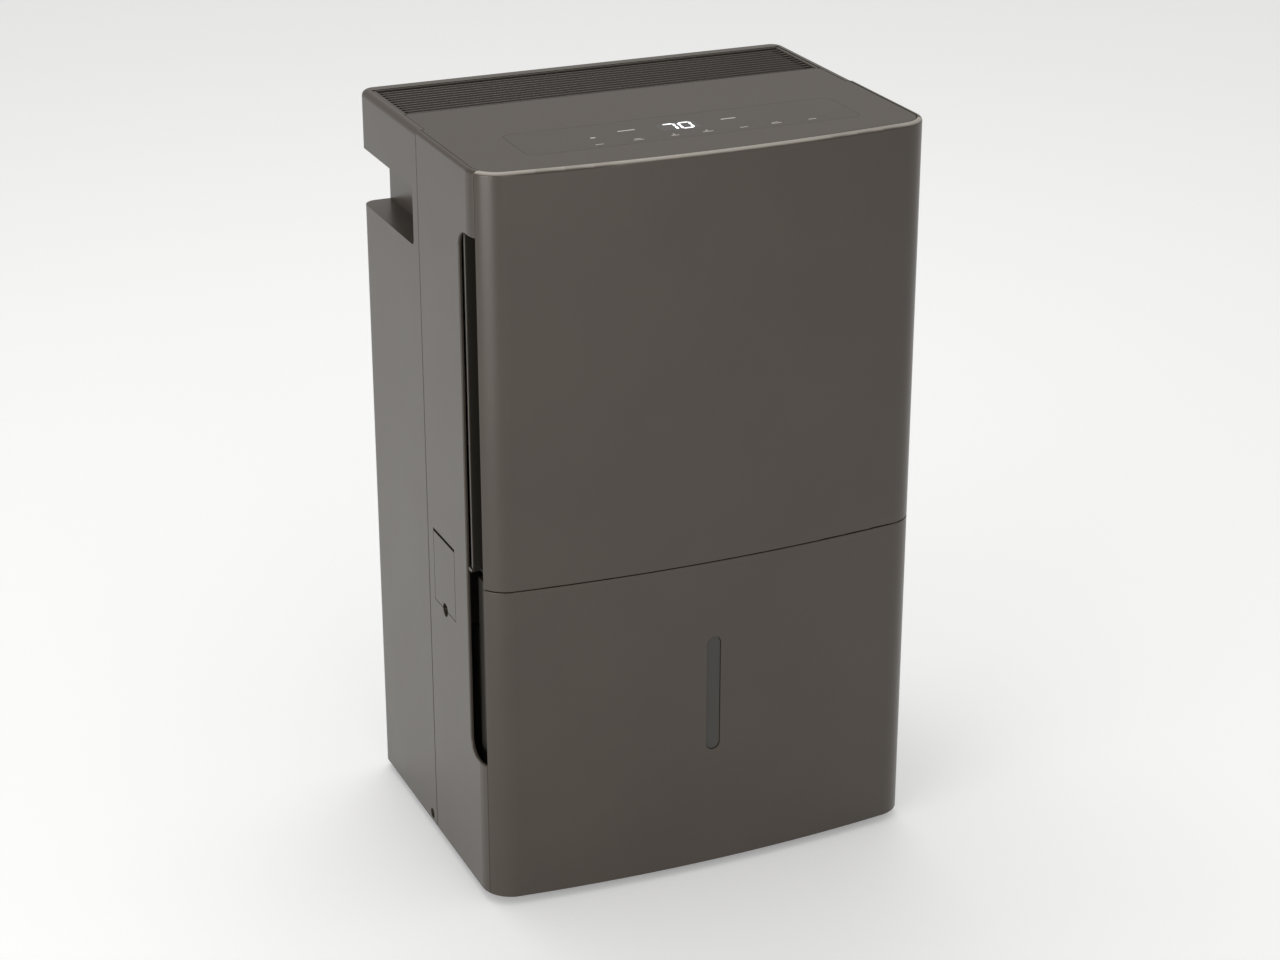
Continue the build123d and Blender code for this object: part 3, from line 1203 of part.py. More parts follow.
with BuildPart() as suction_pipe:
    with BuildLine() as suction_path:
        FilletPolyline(
            (ACCUMULATOR_X, ACCUMULATOR_Y, SHELL_LOW + 136.4),
            (ACCUMULATOR_X, ACCUMULATOR_Y, 266),
            (ACCUMULATOR_X, RISER_Y, 266),
            (RISER_X, RISER_Y, 266),
            (RISER_X, RISER_Y, LOW_TUBE_Z),
            (RISER_X, EVAPORATOR_Y, LOW_TUBE_Z),
            (TUBE_END_X, EVAPORATOR_Y, LOW_TUBE_Z),
            radius=10,
        )
    with BuildSketch(suction_path.line ^ 0):
        Circle(PIPE_R)
    sweep()
suction_pipe.part.label = "suction_pipe"
export_step(suction_pipe.part, "parts/suction_pipe.step")

with BuildPart() as discharge_pipe:
    with BuildLine() as discharge_path:
        FilletPolyline(
            (COMPRESSOR_X - 30, COMPRESSOR_Y, SHELL_HIGH + 0.4),
            (COMPRESSOR_X - 30, COMPRESSOR_Y, 280),
            (COMPRESSOR_X - 30, DISCHARGE_Y, 280),
            (DISCHARGE_X, DISCHARGE_Y, 280),
            (DISCHARGE_X, DISCHARGE_Y, HIGH_TUBE_Z),
            (DISCHARGE_X, CONDENSER_Y, HIGH_TUBE_Z),
            (TUBE_END_X, CONDENSER_Y, HIGH_TUBE_Z),
            radius=9,
        )
    with BuildSketch(discharge_path.line ^ 0):
        Circle(PIPE_R - 0.5)
    sweep()
discharge_pipe.part.label = "discharge_pipe"
export_step(discharge_pipe.part, "parts/discharge_pipe.step")

# The drier and the capillary lead the liquid from the foot of the condenser to the head of the
# evaporator.
DRIER_X = 166
DRIER_Y = -20
DRIER_LOW = 372
DRIER_HIGH = 450

with BuildPart() as filter_drier:
    with BuildSketch(Plane.XY.offset(DRIER_LOW)):
        with Locations((DRIER_X, DRIER_Y)):
            Circle(8.5)
    extrude(amount=DRIER_HIGH - DRIER_LOW)
    fillet(filter_drier.edges().filter_by(GeomType.CIRCLE), 5)
filter_drier.part.label = "filter_drier"
export_step(filter_drier.part, "parts/filter_drier.step")

with BuildPart() as liquid_pipe:
    with BuildLine() as liquid_path:
        FilletPolyline(
            (TUBE_END_X, CONDENSER_Y, LOW_TUBE_Z),
            (DRIER_X, CONDENSER_Y, LOW_TUBE_Z),
            (DRIER_X, DRIER_Y, LOW_TUBE_Z),
            (DRIER_X, DRIER_Y, DRIER_LOW - 0.4),
            radius=8,
        )
    with BuildSketch(liquid_path.line ^ 0):
        Circle(PIPE_R - 0.5)
    sweep()
liquid_pipe.part.label = "liquid_pipe"
export_step(liquid_pipe.part, "parts/liquid_pipe.step")

with BuildPart() as capillary:
    with BuildLine() as capillary_path:
        FilletPolyline(
            (DRIER_X, DRIER_Y, DRIER_HIGH + 0.4),
            (DRIER_X, DRIER_Y, HIGH_TUBE_Z - 20),
            (DRIER_X, EVAPORATOR_Y, HIGH_TUBE_Z - 20),
            (DRIER_X, EVAPORATOR_Y, HIGH_TUBE_Z),
            (TUBE_END_X, EVAPORATOR_Y, HIGH_TUBE_Z),
            radius=6,
        )
    with BuildSketch(capillary_path.line ^ 0):
        Circle(1.3)
    sweep()
capillary.part.label = "capillary"
export_step(capillary.part, "parts/capillary.step")

# ---------------------------------------------------------------- partition, switch and electronics
PARTITION_Y = 6
PARTITION = 2.5
PARTITION_HALF_W = 183
PARTITION_HIGH = 258
SWITCH_X = 120
SWITCH_Z = 150
LEVER_Y = -4
BOX_X = 118
BOX_W = 92
BOX_LOW = 80
BOX_HIGH = 218
BOX_FRONT_Y = 92
BOX_REAR_Y = 138

with BuildPart() as bay_partition:
    with BuildSketch(front_plane(PARTITION_Y + PARTITION)):
        with Locations((0, (BASE_TOP + CLEAR + PARTITION_HIGH) / 2)):
            Rectangle(2 * PARTITION_HALF_W, PARTITION_HIGH - BASE_TOP - CLEAR)
    extrude(amount=PARTITION)
    with BuildSketch(Plane.XY.offset(BASE_TOP + CLEAR)):
        with Locations((0, PARTITION_Y + PARTITION / 2 + 1)):
            with GridLocations(60, 0, 7, 1):
                Rectangle(2, 5)
    extrude(amount=PARTITION_HIGH - BASE_TOP - CLEAR)
bay_partition.part.label = "bay_partition"
export_step(bay_partition.part, "parts/bay_partition.step")

with BuildPart() as bucket_switch:
    with BuildSketch(front_plane(PARTITION_Y - 1.2)):
        with Locations((SWITCH_X, SWITCH_Z)):
            RectangleRounded(20, 10, 1)
    extrude(amount=7)
    with BuildSketch(side_plane(SWITCH_X - 8)):
        with Locations((LEVER_Y + 1.5, SWITCH_Z + 7)):
            Circle(2.2)
            with Locations((1, -2)):
                Rectangle(4, 4)
            Circle(0.85, mode=Mode.SUBTRACT)
    extrude(amount=2)
bucket_switch.part.label = "bucket_switch"
export_step(bucket_switch.part, "parts/bucket_switch.step")

with BuildPart() as switch_lever:
    with BuildSketch(side_plane(SWITCH_X - 9)):
        with Locations((LEVER_Y + 1.5, SWITCH_Z + 7)):
            Circle(0.8)
    extrude(amount=12)
    with BuildSketch(side_plane(SWITCH_X - 5.7)):
        with Locations((LEVER_Y + 1.5, SWITCH_Z + 7)):
            Circle(1.6)
        with Locations((LEVER_Y + 1.3, SWITCH_Z + 16)):
            Rectangle(1.2, 19)
    extrude(amount=8)
switch_lever.part.label = "switch_lever"
export_step(switch_lever.part, "parts/switch_lever.step")

with BuildPart() as electronics_box:
    with BuildSketch(front_plane(BOX_REAR_Y)):
        with Locations((BOX_X, (BOX_LOW + BOX_HIGH) / 2)):
            RectangleRounded(BOX_W, BOX_HIGH - BOX_LOW, 4)
    extrude(amount=BOX_REAR_Y - BOX_FRONT_Y)
    with BuildSketch(front_plane(BOX_REAR_Y - 2)):
        with Locations((BOX_X, (BOX_LOW + BOX_HIGH) / 2)):
            RectangleRounded(BOX_W - 4, BOX_HIGH - BOX_LOW - 4, 2)
    extrude(amount=BOX_REAR_Y, mode=Mode.SUBTRACT)
electronics_box.part.label = "electronics_box"
export_step(electronics_box.part, "parts/electronics_box.step")

with BuildPart() as main_board:
    with BuildSketch(front_plane(BOX_REAR_Y - 8)):
        with Locations((BOX_X, (BOX_LOW + BOX_HIGH) / 2)):
            Rectangle(BOX_W - 8, BOX_HIGH - BOX_LOW - 8)
    extrude(amount=1.6)
    with BuildSketch(front_plane(BOX_REAR_Y - 9)):
        with Locations((BOX_X - 18, BOX_LOW + 32)):
            Rectangle(32, 28)
        with Locations((BOX_X + 22, BOX_LOW + 80), (BOX_X + 22, BOX_LOW + 104)):
            Rectangle(18, 16)
    extrude(amount=16)
main_board.part.label = "main_board"
export_step(main_board.part, "parts/main_board.step")

with BuildPart() as capacitor:
    with BuildSketch(Plane.XY.offset(BOX_LOW + 56)):
        with Locations((BOX_X - 22, BOX_FRONT_Y + 18)):
            Circle(14)
    extrude(amount=70)
    fillet(capacitor.edges().filter_by(GeomType.CIRCLE), 3)
capacitor.part.label = "capacitor"
export_step(capacitor.part, "parts/capacitor.step")

# ---------------------------------------------------------------- cord gland and screws
GLAND_BORE_R = 3.6
SCREW_R = 2
SCREW_HEAD_R = 3.8
SCREW_HEAD = 2.6
SCREW_LENGTH = 14

with BuildPart() as cord_gland:
    with BuildSketch(front_plane(REAR_Y - WALL - 0.2)):
        with Locations((GLAND_X, GLAND_Z)):
            Circle(GLAND_R + 3)
    extrude(amount=3)
    with BuildSketch(front_plane(REAR_Y)):
        with Locations((GLAND_X, GLAND_Z)):
            Circle(GLAND_R - 0.05)
    extrude(amount=12)
    with BuildSketch(front_plane(REAR_Y + 1)):
        with Locations((GLAND_X, GLAND_Z)):
            Circle(GLAND_BORE_R)
    extrude(amount=20, mode=Mode.SUBTRACT)
cord_gland.part.label = "cord_gland"
export_step(cord_gland.part, "parts/cord_gland.step")


def screw(head_plane):
    """A pan-head screw whose head rests on a plane and whose shank runs down its normal."""
    with BuildPart() as piece:
        with BuildSketch(head_plane):
            Circle(SCREW_R)
        extrude(amount=-SCREW_LENGTH)
        with BuildSketch(head_plane):
            Circle(SCREW_HEAD_R)
        extrude(amount=SCREW_HEAD)
        fillet(piece.faces().sort_by(Axis(head_plane.origin, head_plane.z_dir))[-1].edges(), 1)
        with BuildSketch(head_plane.offset(SCREW_HEAD)):
            Rectangle(4, 0.9)
            Rectangle(0.9, 4)
        extrude(amount=-1.4, mode=Mode.SUBTRACT)
    return piece.part


with BuildPart() as casing_screws:
    for side in (-1, 1):
        head_x = side * (HALF_W - SCREW_WELL + 0.2)
        add(screw(Plane(origin=(head_x, SCREW_Y, SCREW_Z), z_dir=(side, 0, 0))))
    for x, z in BACK_SCREWS:
        add(screw(Plane(origin=(x, HOUSING_REAR_Y + 4.2, z), z_dir=(0, 1, 0))))
    for x, z in BASE_SCREWS:
        add(screw(Plane(origin=(x, BASE_REAR_Y + 4.2, z), z_dir=(0, 1, 0))))
    for x, z in COVER_POSTS:
        add(screw(Plane(origin=(x, FRAME_Y + FRAME + 0.2, z), z_dir=(0, 1, 0))))
casing_screws.part.label = "casing_screws"
export_step(casing_screws.part, "parts/casing_screws.step")
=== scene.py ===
import bpy
import bmesh
import math
from mathutils import Matrix, Vector


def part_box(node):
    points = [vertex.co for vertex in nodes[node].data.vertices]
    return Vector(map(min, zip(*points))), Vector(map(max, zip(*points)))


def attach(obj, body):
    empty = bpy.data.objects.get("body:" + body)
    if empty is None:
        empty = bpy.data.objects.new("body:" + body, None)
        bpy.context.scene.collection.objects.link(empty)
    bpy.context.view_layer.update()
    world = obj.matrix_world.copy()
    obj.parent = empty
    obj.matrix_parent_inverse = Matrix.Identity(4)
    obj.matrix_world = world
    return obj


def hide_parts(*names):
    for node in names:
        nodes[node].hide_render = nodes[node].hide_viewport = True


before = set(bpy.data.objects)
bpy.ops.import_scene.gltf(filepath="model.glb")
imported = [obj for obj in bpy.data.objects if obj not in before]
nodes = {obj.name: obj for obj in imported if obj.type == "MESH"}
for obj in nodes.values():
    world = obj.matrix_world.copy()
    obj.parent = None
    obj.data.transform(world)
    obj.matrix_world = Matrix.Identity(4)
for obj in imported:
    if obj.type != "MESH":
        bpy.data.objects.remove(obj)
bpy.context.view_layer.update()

# ---------------------------------------------------------------- camera, floor and light
# The cabinet stands on a pale studio floor. Three large soft lights and a bright sky give its satin
# plastic long, quiet gradients. The lamps' glass is out of sight, so only their light is seen.
VIEW_AZIMUTH = math.radians(-23.6)
VIEW_ELEVATION = math.radians(22.8)
VIEW_DISTANCE = 2.3788
VIEW_SIDE = 0.002
VIEW_RISE = 0.0157
VIEW_CENTRE = Vector((0, 0, 0.319))
LENS_MM = 78.75

back = Vector(
    (
        math.sin(VIEW_AZIMUTH) * math.cos(VIEW_ELEVATION),
        -math.cos(VIEW_AZIMUTH) * math.cos(VIEW_ELEVATION),
        math.sin(VIEW_ELEVATION),
    )
)
right = Vector((math.cos(VIEW_AZIMUTH), math.sin(VIEW_AZIMUTH), 0))
up = back.cross(right)
camera_data = bpy.data.cameras.new("view")
camera_data.lens = LENS_MM
camera = bpy.data.objects.new("view", camera_data)
bpy.context.scene.collection.objects.link(camera)
turn = Matrix((right, up, back)).transposed().to_4x4()
spot = VIEW_CENTRE + back * VIEW_DISTANCE - right * VIEW_SIDE - up * VIEW_RISE
camera.matrix_world = Matrix.Translation(spot) @ turn
bpy.context.scene.camera = camera

world = bpy.data.worlds.new("studio")
world.use_nodes = True
sky = world.node_tree.nodes["Background"]
sky.inputs["Color"].default_value = (1.0, 0.955, 0.905, 1)
sky.inputs["Strength"].default_value = 0.62
bpy.context.scene.world = world
bpy.context.scene.view_settings.view_transform = "Standard"


def soft_light(name, place, aim, width, height, power, tint):
    """A large square-cornered lamp at place, turned to face aim."""
    lamp = bpy.data.lights.new(name, "AREA")
    lamp.shape = "RECTANGLE"
    lamp.size = width
    lamp.size_y = height
    lamp.energy = power
    lamp.color = tint
    holder = bpy.data.objects.new(name, lamp)
    bpy.context.scene.collection.objects.link(holder)
    holder.location = place
    holder.visible_camera = False
    holder.rotation_euler = (Vector(aim) - Vector(place)).to_track_quat("-Z", "Y").to_euler()


WARM = (1, 0.96, 0.91)
soft_light("left_bank", (-2.1, -1.2, 0.45), (0, -0.1, 0.15), 1.6, 0.8, 26, WARM)
soft_light("front_bank", (0.1, -2.8, 0.8), (0, 0, 0.2), 1.6, 1.2, 11.5, WARM)
soft_light("top_bank", (0.1, 1.0, 2.6), (0, 0.1, 0.5), 1.8, 1.2, 17, WARM)

FLOOR_HALF = 8
FLOOR_Z = -0.0002
FLOOR_CORNERS = ((-1, -1), (1, -1), (1, 1), (-1, 1))
floor_mesh = bpy.data.meshes.new("floor")
floor_mesh.from_pydata(
    [(x * FLOOR_HALF, y * FLOOR_HALF, FLOOR_Z) for x, y in FLOOR_CORNERS], [], [(0, 1, 2, 3)]
)
floor = bpy.data.objects.new("floor", floor_mesh)
bpy.context.scene.collection.objects.link(floor)
floor_paint = bpy.data.materials.new("floor_paint")
floor_paint.use_nodes = True
floor_shader = floor_paint.node_tree.nodes["Principled BSDF"]
floor_shader.inputs["Base Color"].default_value = (0.86, 0.9, 0.94, 1)
floor_shader.inputs["Roughness"].default_value = 0.85
floor_shader.inputs["Emission Color"].default_value = (1, 1, 1, 1)
floor_shader.inputs["Emission Strength"].default_value = 0.2
floor_mesh.materials.append(floor_paint)


# ---------------------------------------------------------------- cabinet panels
# The rear shell, the front casing, the cover, the bucket's front, the deck and the drain door are
# injection-moulded ABS, coloured through in a warm dark grey. The tool leaves a fine leathery spark
# texture, which sits deeper on the deck. The cover's top edge carries a pale painted highlight.
CASING_GREY = (0.044, 0.0362, 0.0282, 1)
CASING_FINISH = (CASING_GREY, 0.31, 0.0009, 0.22, 0.05, 0.45)
DECK_GREY = (0.062, 0.055, 0.047, 1)
# Inside these bounds a panel's faces carry painted shade. Above them, its top rim carries a painted
# highlight.
INSIDE_HALF_WIDTH = 0.1896
INSIDE_FRONT_Y = -0.1185
INSIDE_TOP_Z = 0.615
# Painted shade for the panels' inner faces.
INSIDE_PAINTED_SHADE = (0.019, 0.017, 0.0145, 1)
# A pale painted highlight for a thin band along the front cover's top edge.
RIM_PAINTED_HIGHLIGHT = (0.34, 0.325, 0.30, 1)
RIM_START = 0.0128
RIM_END = 0.0142


def finish_nodes(material):
    """The material's tree, its shader, and a coordinate node to start patterns from."""
    material.use_nodes = True
    tree = material.node_tree
    shader = tree.nodes["Principled BSDF"]
    place = tree.nodes.new("ShaderNodeTexCoord")
    return tree, shader, place


def grained(name, colour, rough, grain_size, depth, mottle=0.06, sheen=0.5, patch=12, metal=0.0):
    """A moulded, cast or rolled finish: fine grain in the surface, slow drift in tone and gloss."""
    material = bpy.data.materials.new(name)
    tree, shader, place = finish_nodes(material)
    grain = tree.nodes.new("ShaderNodeTexNoise")
    grain.inputs["Scale"].default_value = 1 / grain_size
    grain.inputs["Detail"].default_value = 3
    tree.links.new(place.outputs["Object"], grain.inputs["Vector"])
    bump = tree.nodes.new("ShaderNodeBump")
    bump.inputs["Strength"].default_value = depth
    bump.inputs["Distance"].default_value = grain_size * 0.12
    tree.links.new(grain.outputs["Fac"], bump.inputs["Height"])
    tree.links.new(bump.outputs["Normal"], shader.inputs["Normal"])
    drift = tree.nodes.new("ShaderNodeTexNoise")
    drift.inputs["Scale"].default_value = patch
    drift.inputs["Detail"].default_value = 4
    drift.inputs["Roughness"].default_value = 0.6
    tree.links.new(place.outputs["Object"], drift.inputs["Vector"])
    tone = tree.nodes.new("ShaderNodeValToRGB")
    tone.color_ramp.elements[0].position = 0.3
    tone.color_ramp.elements[1].position = 0.7
    low = [c * (1 - mottle) for c in colour[:3]] + [1]
    high = [min(1, c * (1 + mottle)) for c in colour[:3]] + [1]
    tone.color_ramp.elements[0].color = low
    tone.color_ramp.elements[1].color = high
    tree.links.new(drift.outputs["Fac"], tone.inputs["Fac"])
    tree.links.new(tone.outputs["Color"], shader.inputs["Base Color"])
    gloss = tree.nodes.new("ShaderNodeMapRange")
    gloss.inputs["To Min"].default_value = rough - 0.05
    gloss.inputs["To Max"].default_value = rough + 0.05
    tree.links.new(drift.outputs["Fac"], gloss.inputs["Value"])
    tree.links.new(gloss.outputs["Result"], shader.inputs["Roughness"])
    shader.inputs["Specular IOR Level"].default_value = sheen
    shader.inputs["Metallic"].default_value = metal
    return material


def blend_colour(tree, under, over, factor):
    """Lays one colour over another where factor is 1. over is an output socket or a colour."""
    choose = tree.nodes.new("ShaderNodeMix")
    choose.data_type = "RGBA"
    below, above = [socket for socket in choose.inputs if socket.type == "RGBA"]
    tree.links.new(under, below)
    if isinstance(over, tuple):
        above.default_value = over
    else:
        tree.links.new(over, above)
    tree.links.new(factor, choose.inputs["Factor"])
    return [socket for socket in choose.outputs if socket.type == "RGBA"][0]


casing_abs = grained("casing_abs", *CASING_FINISH)
deck_abs = grained("deck_abs", DECK_GREY, 0.50, 0.0011, 0.45, 0.05)


def paint(node_names, material):
    """Gives carried-over CAD nodes their finish."""
    for name in node_names:
        nodes[name].data.materials.clear()
        nodes[name].data.materials.append(material)


def shaded_inside(name, rim_highlight):
    """The panel's finish outside, painted shade on its inner faces, and maybe a pale painted
    highlight along its top rim."""
    material = grained(name, *CASING_FINISH)
    tree = material.node_tree
    shader = tree.nodes["Principled BSDF"]
    outer = shader.inputs["Base Color"].links[0].from_socket
    place = tree.nodes.new("ShaderNodeTexCoord")
    split = tree.nodes.new("ShaderNodeSeparateXYZ")
    tree.links.new(place.outputs["Object"], split.inputs["Vector"])
    width = tree.nodes.new("ShaderNodeMath")
    width.operation = "ABSOLUTE"
    tree.links.new(split.outputs["X"], width.inputs[0])
    inside = None
    for source, operation, limit in (
        (width.outputs[0], "LESS_THAN", INSIDE_HALF_WIDTH),
        (split.outputs["Y"], "GREATER_THAN", INSIDE_FRONT_Y),
        (split.outputs["Z"], "LESS_THAN", INSIDE_TOP_Z),
    ):
        test = tree.nodes.new("ShaderNodeMath")
        test.operation = operation
        test.inputs[1].default_value = limit
        tree.links.new(source, test.inputs[0])
        if inside is None:
            inside = test.outputs[0]
            continue
        both = tree.nodes.new("ShaderNodeMath")
        both.operation = "MULTIPLY"
        tree.links.new(inside, both.inputs[0])
        tree.links.new(test.outputs[0], both.inputs[1])
        inside = both.outputs[0]
    # Inner faces take the painted shade colour.
    mixed = blend_colour(tree, outer, INSIDE_PAINTED_SHADE, inside)
    if not rim_highlight:
        tree.links.new(mixed, shader.inputs["Base Color"])
        return material
    # A thin band along the top rim takes the pale painted highlight.
    rim = tree.nodes.new("ShaderNodeMapRange")
    rim.inputs["From Min"].default_value = INSIDE_TOP_Z + RIM_START
    rim.inputs["From Max"].default_value = INSIDE_TOP_Z + RIM_END
    tree.links.new(split.outputs["Z"], rim.inputs["Value"])
    rim_lit = blend_colour(tree, mixed, RIM_PAINTED_HIGHLIGHT, rim.outputs["Result"])
    tree.links.new(rim_lit, shader.inputs["Base Color"])
    return material


side_abs = shaded_inside("casing_abs_sides", False)
front_abs = shaded_inside("casing_abs_front", True)
paint(["rear_casing", "drain_door"], casing_abs)
paint(["front_casing", "bucket_front"], side_abs)
paint(["front_cover"], front_abs)
paint(["top_deck"], deck_abs)

# ---------------------------------------------------------------- control overlay
# A thin printed film over the touch pads, with a smoked window for the display. Its marks are plain
# bars and dots, and a two-digit seven-segment display glows through the window.
MM = 0.001
OVERLAY_Y = -69
DISPLAY_Y = -68
OVERLAY_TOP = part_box("control_overlay")[1].z
film = grained("overlay_film", (0.047, 0.042, 0.036, 1), 0.44, 0.0006, 0.15, 0.04)
paint(["control_overlay"], film)


def flat_marks(name, shapes, height, body, material, thick=0.00004):
    """Thin marks that lie on a level face. Each shape is a list of plan points in millimetres."""
    mesh = bpy.data.meshes.new(name)
    work = bmesh.new()
    for outline in shapes:
        ring = [work.verts.new((x * MM, y * MM, height)) for x, y in outline]
        face = work.faces.new(ring)
        if face.normal.z < 0:
            face.normal_flip()
        grown = bmesh.ops.extrude_face_region(work, geom=[face])
        lifted = [v for v in grown["geom"] if isinstance(v, bmesh.types.BMVert)]
        bmesh.ops.translate(work, verts=lifted, vec=(0, 0, thick))
    bmesh.ops.recalc_face_normals(work, faces=work.faces)
    work.to_mesh(mesh)
    work.free()
    piece = bpy.data.objects.new(name, mesh)
    bpy.context.scene.collection.objects.link(piece)
    mesh.materials.append(material)
    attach(piece, body)
    return piece


def segment_bar(x, y, length, upright, slant=0.12, width=2.1):
    """One segment of a digit, pointed at both ends and leaning with the digit."""
    half = length / 2
    tip = width / 2
    if upright:
        lower = [(0, -half), (tip, -half + tip), (tip, half - tip)]
        ring = lower + [(0, half), (-tip, half - tip), (-tip, -half + tip)]
    else:
        lower = [(-half, 0), (-half + tip, -tip), (half - tip, -tip)]
        ring = lower + [(half, 0), (half - tip, tip), (-half + tip, tip)]
    return [(x + px + slant * (y + py - OVERLAY_Y), y + py) for px, py in ring]


DIGIT_W = 9.2
DIGIT_H = 15.5
SEGMENTS = {
    "top": (0, DIGIT_H / 2, DIGIT_W, False),
    "foot": (0, -DIGIT_H / 2, DIGIT_W, False),
    "upper_left": (-DIGIT_W / 2, DIGIT_H / 4, DIGIT_H / 2, True),
    "upper_right": (DIGIT_W / 2, DIGIT_H / 4, DIGIT_H / 2, True),
    "lower_left": (-DIGIT_W / 2, -DIGIT_H / 4, DIGIT_H / 2, True),
    "lower_right": (DIGIT_W / 2, -DIGIT_H / 4, DIGIT_H / 2, True),
}
SEVEN = ["top", "upper_right", "lower_right"]
ZERO = list(SEGMENTS)
SEGMENT_GAP = 0.7

glow = bpy.data.materials.new("display_glow")
glow_tree, glow_shader, glow_place = finish_nodes(glow)
glow_shader.inputs["Base Color"].default_value = (0.9, 0.93, 0.95, 1)
glow_shader.inputs["Emission Strength"].default_value = 1.4
glow_spread = glow_tree.nodes.new("ShaderNodeTexNoise")
glow_spread.inputs["Scale"].default_value = 260
glow_tone = glow_tree.nodes.new("ShaderNodeValToRGB")
glow_tone.color_ramp.elements[0].color = (0.86, 0.91, 0.95, 1)
glow_tone.color_ramp.elements[1].color = (1.0, 1.0, 1.0, 1)
glow_tree.links.new(glow_place.outputs["Object"], glow_spread.inputs["Vector"])
glow_tree.links.new(glow_spread.outputs["Fac"], glow_tone.inputs["Fac"])
glow_tree.links.new(glow_tone.outputs["Color"], glow_shader.inputs["Emission Color"])

digit_bars = []
for centre_x, lit in ((-6.2, SEVEN), (7.4, ZERO)):
    for name in lit:
        dx, dy, length, upright = SEGMENTS[name]
        digit_bars.append(segment_bar(centre_x + dx, DISPLAY_Y + dy, length - SEGMENT_GAP, upright))
flat_marks("display_digits", digit_bars, OVERLAY_TOP + 0.00002, "cabinet", glow)


def rounded_ring(x, y, width, depth, radius, steps=6):
    """A rounded rectangle's outline in plan."""
    ring = []
    for corner_x, corner_y, start in ((1, 1, 0), (-1, 1, 90), (-1, -1, 180), (1, -1, 270)):
        for step in range(steps + 1):
            angle = math.radians(start + 90 * step / steps)
            ring.append(
                (
                    x + corner_x * (width / 2 - radius) + radius * math.cos(angle),
                    y + corner_y * (depth / 2 - radius) + radius * math.sin(angle),
                )
            )
    return ring


ink = grained("overlay_ink", (0.62, 0.61, 0.58, 1), 0.55, 0.0004, 0.1, 0.05)
UPPER_BARS_Y = -64
LOWER_BARS_Y = -91.6
SHORT_BARS_Y = -88.8
DOTS_Y = -88.4
LOWER_MARKS = (-76, -43, -12, 16, 47, 75.5, 107)
ink_marks = []
for x, width in ((-42, 15), (46, 13)):
    ink_marks.append(rounded_ring(x, UPPER_BARS_Y, width, 1.9, 0.9))
ink_marks.append(rounded_ring(-74, -73, 4.4, 2.4, 1.15))
for index, x in enumerate(LOWER_MARKS):
    ink_marks.append(rounded_ring(x, LOWER_BARS_Y, 9 if index % 2 else 7, 1.0, 0.45))
    if index in (1, 5):
        ink_marks.append(rounded_ring(x, SHORT_BARS_Y, 6, 0.9, 0.4))
    if index in (2, 3):
        ink_marks.append(rounded_ring(x, DOTS_Y, 2.2, 2.2, 1.05))
flat_marks("overlay_marks", ink_marks, OVERLAY_TOP + 0.00001, "cabinet", ink)

smoke = grained("display_smoke", (0.012, 0.012, 0.012, 1), 0.22, 0.0006, 0.05, 0.1)
window_outline = rounded_ring(0.8, DISPLAY_Y, 33, 19.5, 1.5)
flat_marks("display_window", [window_outline], OVERLAY_TOP - 0.00003, "cabinet", smoke)

# ---------------------------------------------------------------- outlet grille
# A drop-in grille of dark grey polypropylene: thin blades lie from side to side, leaning back, and
# comb teeth along both ends hold them. Cross ribs underneath keep them level.
grille_low, grille_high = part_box("outlet_grille")
BLADE_COUNT = 11
BLADE_HEIGHT = 0.0066
BLADE_THICK = 0.0020
BLADE_LEAN = math.radians(-24)
BLADE_DROP = 0.0046
GRILLE_BORDER = 0.0034
SIDE_RAIL = 0.003
END_RAIL = 0.0022
RAIL_DROP = 0.0004
RIB_PLACES = (-0.14, -0.07, 0, 0.07, 0.14)
RIB_HALF = 0.001
TOOTH_HALF = 0.0011
grille_dark = grained("grille_dark", (0.040, 0.035, 0.029, 1), 0.38, 0.0007, 0.25, 0.1)


def tree_with(name, inputs):
    """A geometry tree with named number inputs."""
    tree = bpy.data.node_groups.new(name, "GeometryNodeTree")
    for label, kind, value in inputs:
        socket = tree.interface.new_socket(label, in_out="INPUT", socket_type=kind)
        socket.default_value = value
    tree.interface.new_socket("Geometry", in_out="OUTPUT", socket_type="NodeSocketGeometry")
    return tree, tree.nodes.new("NodeGroupInput"), tree.nodes.new("NodeGroupOutput")


